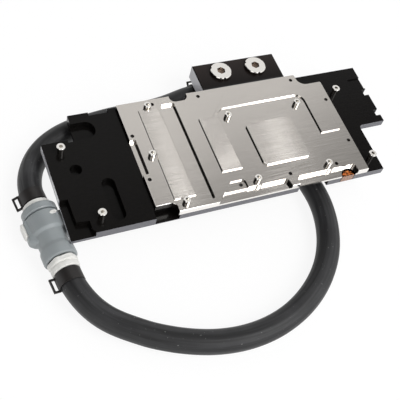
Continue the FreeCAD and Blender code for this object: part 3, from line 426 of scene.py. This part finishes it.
def blackAcetal():
    # Milled black acetal: polished top and faint scuffs; the tool-marked outer side faces are painted
    # pale, a painted reflection of the bright surroundings
    material, tree, shader = newMaterial("milledBlackAcetal", "#121112", 0.0, 0.16,
                                         {"IOR": 1.48, "Specular IOR Level": 0.12})
    where = addNode(tree, "ShaderNodeTexCoord")
    parts = addNode(tree, "ShaderNodeSeparateXYZ", links={"Vector": where.outputs["Object"]})
    facing = addNode(tree, "ShaderNodeSeparateXYZ", links={"Vector": where.outputs["Normal"]})
    scuffMap = addNode(tree, "ShaderNodeMapping",
                       links={"Vector": where.outputs["Object"],
                              "Scale": (240.0, acetalLook["scuffsPerMetre"], 240.0)})
    scuffs = addNode(tree, "ShaderNodeTexNoise",
                     links={"Vector": scuffMap.outputs["Vector"], "Scale": 1.0, "Detail": 3.0})
    steep = addNode(tree, "ShaderNodeMath", {"operation": "ABSOLUTE"}, {0: facing.outputs["Z"]})
    side = addNode(tree, "ShaderNodeMath", {"operation": "LESS_THAN"}, {0: steep.outputs[0], 1: 0.3})
    # Outer faces, painted pale below as a painted reflection: the terminal block's, the front of the
    # right tab, and three ends of the cover
    onBlock = addNode(tree, "ShaderNodeMath", {"operation": "GREATER_THAN"},
                      {0: parts.outputs["Y"], 1: acetalLook["blockStart"]})
    onTab = addNode(tree, "ShaderNodeMath", {"operation": "GREATER_THAN"},
                    {0: parts.outputs["X"], 1: acetalLook["tabStart"]})
    beforeTab = addNode(tree, "ShaderNodeMath", {"operation": "LESS_THAN"},
                        {0: parts.outputs["Y"], 1: acetalLook["tabFront"]})
    tabFront = addNode(tree, "ShaderNodeMath", {"operation": "MULTIPLY"},
                       {0: onTab.outputs[0], 1: beforeTab.outputs[0]})
    outer = addNode(tree, "ShaderNodeMath", {"operation": "MAXIMUM"},
                    {0: onBlock.outputs[0], 1: tabFront.outputs[0]})
    for operation, axis, limit in (("LESS_THAN", "Y", coverLow[1] + acetalLook["skin"]),
                                   ("LESS_THAN", "X", coverLow[0] + acetalLook["skin"]),
                                   ("GREATER_THAN", "X", coverHigh[0] - acetalLook["skin"])):
        end = addNode(tree, "ShaderNodeMath", {"operation": operation},
                      {0: parts.outputs[axis], 1: limit})
        outer = addNode(tree, "ShaderNodeMath", {"operation": "MAXIMUM"},
                        {0: outer.outputs[0], 1: end.outputs[0]})
    # Painted reflection: the outer side faces take a pale grey in place of the black
    paintedSheenFaces = addNode(tree, "ShaderNodeMath", {"operation": "MULTIPLY"},
                     {0: side.outputs[0], 1: outer.outputs[0]})
    tone = addNode(tree, "ShaderNodeMix", {"data_type": "RGBA"},
                   {0: scuffs.outputs["Fac"], 6: linearColour("#0B0A09"), 7: linearColour("#161413")})
    # Faces turned to the left are painted paler still: a painted highlight
    paintedLeftHighlight = addNode(tree, "ShaderNodeMath", {"operation": "LESS_THAN"},
                       {0: facing.outputs["X"], 1: -0.5})
    paintedSheenTone = addNode(tree, "ShaderNodeMix", {"data_type": "RGBA"},
                       {0: paintedLeftHighlight.outputs[0], 6: linearColour("#77777C"), 7: linearColour("#DADADE")})
    # The terminal block's top is given a paler tone than the cover's, paler still towards the back
    upward = addNode(tree, "ShaderNodeMath", {"operation": "GREATER_THAN"},
                     {0: facing.outputs["Z"], 1: 0.9})
    blockTop = addNode(tree, "ShaderNodeMath", {"operation": "MULTIPLY"},
                       {0: upward.outputs[0], 1: onBlock.outputs[0]})
    backward = addNode(tree, "ShaderNodeMapRange",
                       links={"Value": parts.outputs["Y"], "From Min": acetalLook["blockStart"],
                              "From Max": acetalLook["blockPalest"]})
    blockTone = addNode(tree, "ShaderNodeMix", {"data_type": "RGBA"},
                        {0: backward.outputs["Result"], 6: linearColour("#151110"),
                         7: linearColour("#322B29")})
    topTone = addNode(tree, "ShaderNodeMix", {"data_type": "RGBA"},
                      {0: blockTop.outputs[0], 6: tone.outputs[2], 7: blockTone.outputs[2]})
    pale = addNode(tree, "ShaderNodeMix", {"data_type": "RGBA"},
                   {0: paintedSheenFaces.outputs[0], 6: topTone.outputs[2], 7: paintedSheenTone.outputs[2]})
    tree.links.new(pale.outputs[2], shader.inputs["Base Color"])
    rough = addNode(tree, "ShaderNodeMapRange",
                    links={"Value": scuffs.outputs["Fac"], "To Min": 0.13, "To Max": 0.2})
    tree.links.new(rough.outputs["Result"], shader.inputs["Roughness"])
    bump = addNode(tree, "ShaderNodeBump",
                   links={"Height": scuffs.outputs["Fac"], "Strength": 0.04, "Distance": 0.0001})
    tree.links.new(bump.outputs["Normal"], shader.inputs["Normal"])
    return material


def dullFinish(name, colour, pale, roughness, grain):
    # Moulded plastic, seal rubber or phosphated steel: a fine dull grain and a slight tone drift.
    # grain is per metre; the real grain is under 0.1 mm and is drawn at about 0.5 mm so that it shows
    material, tree, shader = newMaterial(name, colour, 0.0, roughness, {"IOR": 1.5})
    where = addNode(tree, "ShaderNodeTexCoord")
    texture = addNode(tree, "ShaderNodeTexNoise",
                      links={"Vector": where.outputs["Object"], "Scale": grain, "Detail": 3.0})
    drift = addNode(tree, "ShaderNodeTexNoise",
                    links={"Vector": where.outputs["Object"], "Scale": 60.0, "Detail": 2.0})
    tone = addNode(tree, "ShaderNodeMix", {"data_type": "RGBA"},
                   {0: drift.outputs["Fac"], 6: linearColour(colour), 7: linearColour(pale)})
    tree.links.new(tone.outputs[2], shader.inputs["Base Color"])
    bump = addNode(tree, "ShaderNodeBump",
                   links={"Height": texture.outputs["Fac"], "Strength": 0.2, "Distance": 0.0001})
    tree.links.new(bump.outputs["Normal"], shader.inputs["Normal"])
    return material


def metalFinish(name, colour, roughness, grain):
    # Cast or turned metal: a slightly uneven shine, in patches of about 1 mm (grain is per metre)
    material, tree, shader = newMaterial(name, colour, 1.0, roughness)
    where = addNode(tree, "ShaderNodeTexCoord")
    texture = addNode(tree, "ShaderNodeTexNoise",
                      links={"Vector": where.outputs["Object"], "Scale": grain, "Detail": 3.0})
    rough = addNode(tree, "ShaderNodeMapRange",
                    links={"Value": texture.outputs["Fac"], "To Min": roughness - 0.08,
                           "To Max": roughness + 0.1})
    tree.links.new(rough.outputs["Result"], shader.inputs["Roughness"])
    return material


slugLow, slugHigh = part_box("copper_slug")
slugLook = {
    "middle": ((slugLow[0] + slugHigh[0]) / 2, slugLow[1], 0.0),
    "paintedGapShade": 0.00455,     # distance from the middle at which the painted shade of the gap round the rim starts
    "patch": 0.0012,    # size of the tarnish patches
}


def milledCopper():
    # Copper slug: tarnished brown in patches, painted dark at its rim as a painted shade of the gap to
    # its seat, paler where the face is cut off
    material, tree, shader = newMaterial("bareMilledCopper", "#C4662E", 1.0, 0.32)
    where = addNode(tree, "ShaderNodeTexCoord")
    offset = addNode(tree, "ShaderNodeVectorMath", {"operation": "SUBTRACT"},
                     {0: where.outputs["Object"], 1: slugLook["middle"]})
    flat = addNode(tree, "ShaderNodeVectorMath", {"operation": "MULTIPLY"},
                   {0: offset.outputs[0], 1: (1.0, 1.0, 0.0)})
    reach = addNode(tree, "ShaderNodeVectorMath", {"operation": "LENGTH"}, {0: flat.outputs[0]})
    # Painted shade: a dark ring at the rim stands for the gap between the slug and its seat
    paintedGapShade = addNode(tree, "ShaderNodeMath", {"operation": "GREATER_THAN"},
                  {0: reach.outputs["Value"], 1: slugLook["paintedGapShade"]})
    facing = addNode(tree, "ShaderNodeSeparateXYZ", links={"Vector": where.outputs["Normal"]})
    cut = addNode(tree, "ShaderNodeMath", {"operation": "LESS_THAN"}, {0: facing.outputs["Y"], 1: -0.7})
    patches = addNode(tree, "ShaderNodeTexNoise",
                      links={"Vector": offset.outputs[0], "Scale": 1 / slugLook["patch"],
                             "Detail": 2.0})
    tarnish = addNode(tree, "ShaderNodeMapRange",
                      links={"Value": patches.outputs["Fac"], "From Min": 0.44, "From Max": 0.56})
    top = addNode(tree, "ShaderNodeMix", {"data_type": "RGBA"},
                  {0: tarnish.outputs["Result"], 6: linearColour("#3A1A0C"),
                   7: linearColour("#E08A4E")})
    withPaintedGapShade = addNode(tree, "ShaderNodeMix", {"data_type": "RGBA"},
                     {0: paintedGapShade.outputs[0], 6: top.outputs[2], 7: linearColour("#180A06")})
    face = addNode(tree, "ShaderNodeMix", {"data_type": "RGBA"},
                   {0: tarnish.outputs["Result"], 6: linearColour("#8C7A74"),
                    7: linearColour("#C09880")})
    tone = addNode(tree, "ShaderNodeMix", {"data_type": "RGBA"},
                   {0: cut.outputs[0], 6: withPaintedGapShade.outputs[2], 7: face.outputs[2]})
    tree.links.new(tone.outputs[2], shader.inputs["Base Color"])
    rough = addNode(tree, "ShaderNodeMapRange",
                    links={"Value": patches.outputs["Fac"], "To Min": 0.2, "To Max": 0.45})
    tree.links.new(rough.outputs["Result"], shader.inputs["Roughness"])
    return material


nickel = nickelPlate()
brightNickel = nickelPart()
acetal = blackAcetal()
greyPlastic = dullFinish("mouldedGreyPolymer", "#8F9597", "#9EA4A6", 0.38, 2500.0)
whitePlastic = dullFinish("mouldedWhitePolymer", "#EBEAE5", "#F4F3EF", 0.38, 2500.0)
sealRubber = dullFinish("mouldedSealRubber", "#161616", "#1E1E1E", 0.6, 1800.0)
springSteel = dullFinish("phosphatedSpringSteel", "#191615", "#272321", 0.5, 1500.0)
elbowNickel = metalFinish("castNickelBrass", "#A9A59F", 0.3, 900.0)
stainless = metalFinish("turnedStainlessSteel", "#9A9A9C", 0.28, 1500.0)
bareCopper = milledCopper()
dress(nickel, "cold_plate")
dress(brightNickel, "port_plugs", "die_standoffs", "board_standoffs", "support_standoffs",
      "left_adapter", "right_adapter")
dress(elbowNickel, "left_elbow", "right_elbow")
dress(acetal, "cover_body", "terminal_block")
dress(sealRubber, "chamber_seal", "terminal_seals", "plug_seals", "adapter_seals", "coupling_seal")
dress(stainless, "jet_plate", "terminal_screws")
dress(bareCopper, "copper_slug")
dress(greyPlastic, "coupling_body", "coupling_ring")
dress(whitePlastic, "coupling_tail", "coupling_insert", "shutoff_valve", "thumb_latch", "release_mark")
dress(springSteel, "cover_screws", "short_hose_clamp", "long_hose_clamp", "left_elbow_clamp",
      "right_elbow_clamp")
print("finishes given")


# Coupling: moulded body, thumb latch, hex insert and release mark as smooth surfaces

couplingLook = {
    "start": (-0.1826, 0.0047, -0.0206),   # the coupling's axis at station zero
    "turn": -83.2,
}


def couplingPlace(station, side, height):
    # Point = start + station x axis + side x cross direction + height x up
    turn = math.radians(couplingLook["turn"])
    axis = np.array([math.cos(turn), math.sin(turn), 0.0])
    cross = np.array([-math.sin(turn), math.cos(turn), 0.0])
    up = np.array([0.0, 0.0, 1.0])
    station, side, height = np.broadcast_arrays(station, side, height)
    return (np.array(couplingLook["start"]) + station[..., None] * axis + side[..., None] * cross
            + height[..., None] * up)


def closedSleeve(name, stations, radii, bore, material):
    # Point = axis at the station + radius x (sine of the angle across, cosine of the angle up);
    # the first and last rows lie on the bore, which closes the wall
    count = radii.shape[1]
    angle = np.linspace(0, 2 * math.pi, count, endpoint=False)[None, :]
    rows = np.concatenate([[stations[0]], stations, [stations[-1]]])[:, None]
    boreRow = np.full((1, count), bore)
    spread = np.concatenate([boreRow, radii, boreRow])
    points = couplingPlace(rows + 0 * angle, spread * np.sin(angle), spread * np.cos(angle))
    quads = [quad[::-1] for quad in gridFaces(len(rows), count, wrapRows=True)]
    piece = meshPiece(name, points.reshape(-1, 3), quads, material)
    return piece


def softMax(a, b, blend):
    # The greater of two surfaces, with a rounded valley where they meet:
    # half of (a + b + the root of ((a - b) squared + blend squared))
    return 0.5 * (a + b + np.sqrt((a - b) ** 2 + blend ** 2))


def smoothed(values, width):
    # Average under a bell curve, width steps wide, that rounds a profile's corners
    reach = np.arange(-3 * width, 3 * width + 1)
    weights = np.exp(-0.5 * (reach / width) ** 2)
    padded = np.pad(values, 3 * width, mode="edge")
    return np.convolve(padded, weights / weights.sum(), mode="valid")


shellForm = {
    "bore": 0.0081,
    "step": 0.0002,
    "around": 288,
    # the body's radius and the wings' share of their reach, each at its station
    "body": [(0.0153, 0.0106), (0.0160, 0.0106), (0.0164, 0.0123), (0.0292, 0.0123), (0.0312, 0.0107),
             (0.0405, 0.0105), (0.0432, 0.0116), (0.0505, 0.0118), (0.0512, 0.0113)],
    "wing": [(0.0153, 0.006), (0.0158, 0.006), (0.0164, 1), (0.0325, 1), (0.0357, 0.76), (0.0366, 0.006)],
    "bodySoftness": 2,      # rounding of the corners along the axis, in steps
    "wingSoftness": 3,
    "wingReach": 0.0150,
    "wingHeight": 0.0052,
    "valley": 0.0007,
    "pocketMiddle": 0.0230,
    "pocketFloor": 0.0091,
    "pocketHalf": (0.0062, 0.0042),
}


def couplingShell():
    # Radius = the greater of the round body and the wings, where a wing's section is the rounded
    # rectangle (across / reach) ^ 6 + (up / height) ^ 6 = 1, and reach and body follow the station
    stations = np.arange(shellForm["body"][0][0], shellForm["body"][-1][0], shellForm["step"])
    body = smoothed(np.interp(stations, *zip(*shellForm["body"])), shellForm["bodySoftness"])[:, None]
    share = np.interp(stations, *zip(*shellForm["wing"]))
    reach = smoothed(share * shellForm["wingReach"], shellForm["wingSoftness"])[:, None]
    angle = np.linspace(0, 2 * math.pi, shellForm["around"], endpoint=False)[None, :]
    sine = np.abs(np.sin(angle)) + 1e-6
    cosine = np.abs(np.cos(angle))
    wing = ((sine / reach) ** 6 + (cosine / shellForm["wingHeight"]) ** 6) ** (-1 / 6)
    wing = np.where(reach > 0.002, wing, 0.0)
    radii = softMax(body + 0 * angle, wing, shellForm["valley"])
    # latch pocket in the wing that faces away from the plate: flat floor, radius = floor / sine
    across = radii * np.sin(angle)
    up = radii * np.cos(angle)
    inPocket = ((np.abs(stations[:, None] - shellForm["pocketMiddle"]) < shellForm["pocketHalf"][0])
                & (np.abs(up) < shellForm["pocketHalf"][1]) & (across < 0))
    radii = np.where(inPocket, shellForm["pocketFloor"] / sine, radii)
    shell = closedSleeve("couplingShell", stations, radii, shellForm["bore"], greyPlastic)
    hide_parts("coupling_body")
    return shell


insertForm = {
    "bore": 0.0040,
    "step": 0.00015,
    "around": 216,
    "hexFlat": 0.0096,
    "hexCorner": 0.0105,
    "collar": 0.0099,
    "collarStart": 0.0562,
    # how far the surface lies below the hexagon or the collar, at each station
    "sunk": [(0.0512, 0.0019), (0.0519, 0.0019), (0.0521, 0), (0.0554, 0), (0.0558, 0.0010),
             (0.0566, 0.0010), (0.0570, 0), (0.0600, 0), (0.0605, 0.0007)],
    "sunkSoftness": 1,
    "collarSoftness": 2,
}


def hexInsert():
    # Radius of the hexagon = flat / cosine of the angle from the flat's middle, at most the corner's;
    # then a groove and a round collar against the hose
    stations = np.arange(insertForm["sunk"][0][0], insertForm["sunk"][-1][0], insertForm["step"])
    angle = np.linspace(0, 2 * math.pi, insertForm["around"], endpoint=False)[None, :]
    fromFlat = (angle + math.pi / 6) % (math.pi / 3) - math.pi / 6
    hexagon = np.minimum(insertForm["hexFlat"] / np.cos(fromFlat), insertForm["hexCorner"])
    sunk = smoothed(np.interp(stations, *zip(*insertForm["sunk"])), insertForm["sunkSoftness"])[:, None]
    isCollar = (stations > insertForm["collarStart"]).astype(float)
    collarShare = smoothed(isCollar, insertForm["collarSoftness"])[:, None]
    radii = hexagon * (1 - collarShare) + insertForm["collar"] * collarShare - sunk
    insert = closedSleeve("hexInsert", stations, radii, insertForm["bore"], whitePlastic)
    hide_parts("coupling_insert")
    return insert


def roundedOutline(half, power, count):
    # x = half length x cosine ^ power, y = half width x sine ^ power, each with its sign
    angle = np.linspace(0, 2 * math.pi, count, endpoint=False)
    turns = np.stack([np.cos(angle), np.sin(angle)], -1)
    return np.array(half) * np.sign(turns) * np.abs(turns) ** np.array(power)


def domedPad(name, outline, levels, place, material, body):
    # Ring = place(outline x scale, level) for each (scale, level), from a closed base to a closed crown
    count = outline.shape[0]
    rings = np.concatenate([place(outline * scale, level) for scale, level in levels[1:-1]])
    base = place(np.zeros((1, 2)), levels[0][1])
    crown = place(np.zeros((1, 2)), levels[-1][1])
    points = np.concatenate([rings, base, crown])
    basePoint = len(rings)
    crownPoint = basePoint + 1
    lastRing = basePoint - count
    ring = np.arange(count)
    following = (ring + 1) % count
    faces = gridFaces(len(levels) - 2, count)
    faces += np.stack([ring, np.full(count, basePoint), following], -1).tolist()
    faces += np.stack([lastRing + ring, lastRing + following, np.full(count, crownPoint)], -1).tolist()
    return meshPiece(name, points, faces, material, body)


padForm = {
    "half": (0.0058, 0.0038),
    "power": (0.5, 0.5),
    "around": 72,
    "inner": 0.0112,    # distances from the coupling's axis
    "outer": 0.0161,
}


def thumbPad():
    # Rounded rectangle, dished a little for the thumb, that slides in the wing's pocket
    inner = padForm["inner"]
    outer = padForm["outer"]
    levels = [(0, inner), (0.5, inner), (0.96, inner), (1, inner + 0.0003), (1, outer - 0.0016),
              (0.985, outer - 0.0010), (0.94, outer - 0.0005), (0.86, outer - 0.0001), (0.75, outer),
              (0.6, outer - 0.0001), (0.3, outer - 0.0003), (0, outer - 0.0003)]

    def place(flat, level):
        return couplingPlace(shellForm["pocketMiddle"] + flat[:, 0], -level, flat[:, 1])

    outline = roundedOutline(padForm["half"], padForm["power"], padForm["around"])
    pad = domedPad("thumbPad", outline, levels, place, whitePlastic, "latch")
    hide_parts("thumb_latch")
    return pad


markForm = {
    "station": 0.0198,
    "turn": 33.0,
    "half": (0.0014, 0.0033),
    "power": (1.0, 0.8),
    "around": 64,
    "slant": 0.25,
    "bodyRadius": 0.0124,
    # scale of the outline and distance from the coupling's axis: a rim round a sunk middle
    "levels": [(0, 0.0112), (0.98, 0.0112), (1, 0.0116), (1, 0.0125), (0.9, 0.01275), (0.72, 0.01275),
               (0.6, 0.0124), (0.3, 0.0124), (0, 0.0124)],
}


def releaseOval():
    # Oval ring bent round the body: turn = middle turn + y / body radius, and the station slants with y

    def place(flat, level):
        turn = math.radians(markForm["turn"]) + flat[:, 1] / markForm["bodyRadius"]
        return couplingPlace(markForm["station"] + flat[:, 0] - markForm["slant"] * flat[:, 1],
                             level * np.sin(turn), level * np.cos(turn))

    outline = roundedOutline(markForm["half"], markForm["power"], markForm["around"])
    mark = domedPad("releaseOval", outline, markForm["levels"], place, whitePlastic, "block")
    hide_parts("release_mark")
    return mark


shell = couplingShell()
insert = hexInsert()
pad = thumbPad()
mark = releaseOval()
print("coupling shaped")


# Table, world and lamps

studio = {
    "tableLevel": cadBox[0][2] - 0.0001,
    "tableHalf": 3.0,
    "tableGlow": 0.85,          # share of the table that shines by itself, to the eye and in reflections
    "tableShine": 1.05,
    "ceilingLevel": 0.33,
    "rearLevel": 0.93,
    "rearRise": (0.40, 0.56),   # the Y direction over which the rear wall brightens
    "frontLevel": 1.3,
    "frontRise": (-0.12, -0.32),
    "stripLevel": 3.2,
    "stripEnd": (0.36, 0.33),
    "strips": [(0.282, 0.312, 0.342, 0.347), (0.418, 0.421, 0.455, 0.495)],   # start, full, fade, end
    "leftLevel": 0.03,
    "leftRise": (-0.12, 0.1),
    "horizon": (0.45, 0.25),    # the Z direction under which all is white
    "lampAim": (-0.03, 0, 0),
    "lampSize": 0.8,
    "keyPlace": (0.55, -0.75, 1.3),
    "keyPower": 7.0,
    "fillPlace": (-0.9, -0.9, 0.9),
    "fillPower": 3.0,
}


def layTable():
    material = bpy.data.materials.new("paleTable")
    material.use_nodes = True
    tree = material.node_tree
    tree.nodes.clear()
    out = addNode(tree, "ShaderNodeOutputMaterial")
    rays = addNode(tree, "ShaderNodeLightPath")
    seen = addNode(tree, "ShaderNodeMath", {"operation": "MAXIMUM"},
                   {0: rays.outputs["Is Camera Ray"], 1: rays.outputs["Is Glossy Ray"]})
    seenThrough = addNode(tree, "ShaderNodeMath", {"operation": "MAXIMUM"},
                          {0: seen.outputs[0], 1: rays.outputs["Is Transmission Ray"]})
    share = addNode(tree, "ShaderNodeMath", {"operation": "MULTIPLY"},
                    {0: seenThrough.outputs[0], 1: studio["tableGlow"]})
    plain = addNode(tree, "ShaderNodeBsdfDiffuse", links={"Color": linearColour("#F2F2F2")})
    glow = addNode(tree, "ShaderNodeEmission",
                   links={"Color": linearColour("#FFFFFF"), "Strength": studio["tableShine"]})
    mix = addNode(tree, "ShaderNodeMixShader",
                  links={0: share.outputs[0], 1: plain.outputs[0], 2: glow.outputs[0]})
    tree.links.new(mix.outputs[0], out.inputs["Surface"])
    half = studio["tableHalf"]
    z = studio["tableLevel"]
    mesh = bpy.data.meshes.new("table")
    mesh.from_pydata([(-half, -half, z), (half, -half, z), (half, half, z), (-half, half, z)], [],
                     [(0, 1, 2, 3)])
    mesh.materials.append(material)
    table = bpy.data.objects.new("table", mesh)
    scene.collection.objects.link(table)


def lightWorld():
    # White to the eye and in reflections near the horizon, darker overhead
    world = bpy.data.worlds.new("studioRoom")
    scene.world = world
    world.use_nodes = True
    tree = world.node_tree
    tree.nodes.clear()
    out = addNode(tree, "ShaderNodeOutputWorld")
    rays = addNode(tree, "ShaderNodeLightPath")
    where = addNode(tree, "ShaderNodeTexCoord")
    parts = addNode(tree, "ShaderNodeSeparateXYZ", links={"Vector": where.outputs["Generated"]})
    # Round the object: a wall behind that dims towards the ceiling, a bright one in front, a dark one
    # on the left, and two strip lamps along Y in the ceiling
    rear = addNode(tree, "ShaderNodeMapRange", {"interpolation_type": "SMOOTHSTEP"},
                   {"Value": parts.outputs["Y"], "From Min": studio["rearRise"][0],
                    "From Max": studio["rearRise"][1], "To Min": studio["ceilingLevel"],
                    "To Max": studio["rearLevel"]})
    ahead = addNode(tree, "ShaderNodeMapRange", {"interpolation_type": "SMOOTHSTEP"},
                    {"Value": parts.outputs["Y"], "From Min": studio["frontRise"][0],
                     "From Max": studio["frontRise"][1], "To Max": studio["frontLevel"]})
    walls = addNode(tree, "ShaderNodeMath", {"operation": "MAXIMUM"},
                    {0: rear.outputs["Result"], 1: ahead.outputs["Result"]})
    overhead = addNode(tree, "ShaderNodeMapRange", {"interpolation_type": "SMOOTHSTEP"},
                       {"Value": parts.outputs["Y"], "From Min": studio["stripEnd"][0],
                        "From Max": studio["stripEnd"][1], "To Max": studio["stripLevel"]})
    glow = walls.outputs[0]
    for start, full, fade, end in studio["strips"]:
        rise = addNode(tree, "ShaderNodeMapRange", {"interpolation_type": "SMOOTHSTEP"},
                       {"Value": parts.outputs["X"], "From Min": start, "From Max": full})
        fall = addNode(tree, "ShaderNodeMapRange", {"interpolation_type": "SMOOTHSTEP"},
                       {"Value": parts.outputs["X"], "From Min": end, "From Max": fade})
        band = addNode(tree, "ShaderNodeMath", {"operation": "MULTIPLY"},
                       {0: rise.outputs["Result"], 1: fall.outputs["Result"]})
        glow = addNode(tree, "ShaderNodeMath", {"operation": "MULTIPLY_ADD"},
                       {0: band.outputs[0], 1: overhead.outputs["Result"], 2: glow}).outputs[0]
    flag = addNode(tree, "ShaderNodeMapRange", {"interpolation_type": "SMOOTHSTEP"},
                   {"Value": parts.outputs["X"], "From Min": studio["leftRise"][0],
                    "From Max": studio["leftRise"][1], "To Min": studio["leftLevel"]})
    flagged = addNode(tree, "ShaderNodeMath", {"operation": "MULTIPLY"},
                      {0: glow, 1: flag.outputs["Result"]})
    low = addNode(tree, "ShaderNodeMapRange", {"interpolation_type": "SMOOTHSTEP"},
                  {"Value": parts.outputs["Z"], "From Min": studio["horizon"][0],
                   "From Max": studio["horizon"][1]})
    shine = addNode(tree, "ShaderNodeMix", {"data_type": "FLOAT"},
                    {0: low.outputs["Result"], 2: flagged.outputs[0], 3: 1.0})
    clear = addNode(tree, "ShaderNodeMath", {"operation": "MAXIMUM"},
                    {0: rays.outputs["Is Camera Ray"], 1: rays.outputs["Is Transmission Ray"]})
    level = addNode(tree, "ShaderNodeMix", {"data_type": "FLOAT"},
                    {0: clear.outputs[0], 2: shine.outputs[0], 3: 1.0})
    back = addNode(tree, "ShaderNodeBackground",
                   links={"Color": linearColour("#FFFFFF"), "Strength": level.outputs[0]})
    tree.links.new(back.outputs[0], out.inputs["Surface"])


def softbox(name, place, power):
    light = bpy.data.lights.new(name, "AREA")
    light.shape = "RECTANGLE"
    light.size = studio["lampSize"]
    light.size_y = studio["lampSize"]
    light.energy = power
    lamp = bpy.data.objects.new(name, light)
    scene.collection.objects.link(lamp)
    aim = (Vector(studio["lampAim"]) - Vector(place)).to_track_quat("-Z", "Y")
    lamp.matrix_world = Matrix.LocRotScale(Vector(place), aim, None)


layTable()
lightWorld()
softbox("keySoftbox", studio["keyPlace"], studio["keyPower"])
softbox("fillSoftbox", studio["fillPlace"], studio["fillPower"])
print("studio lit")
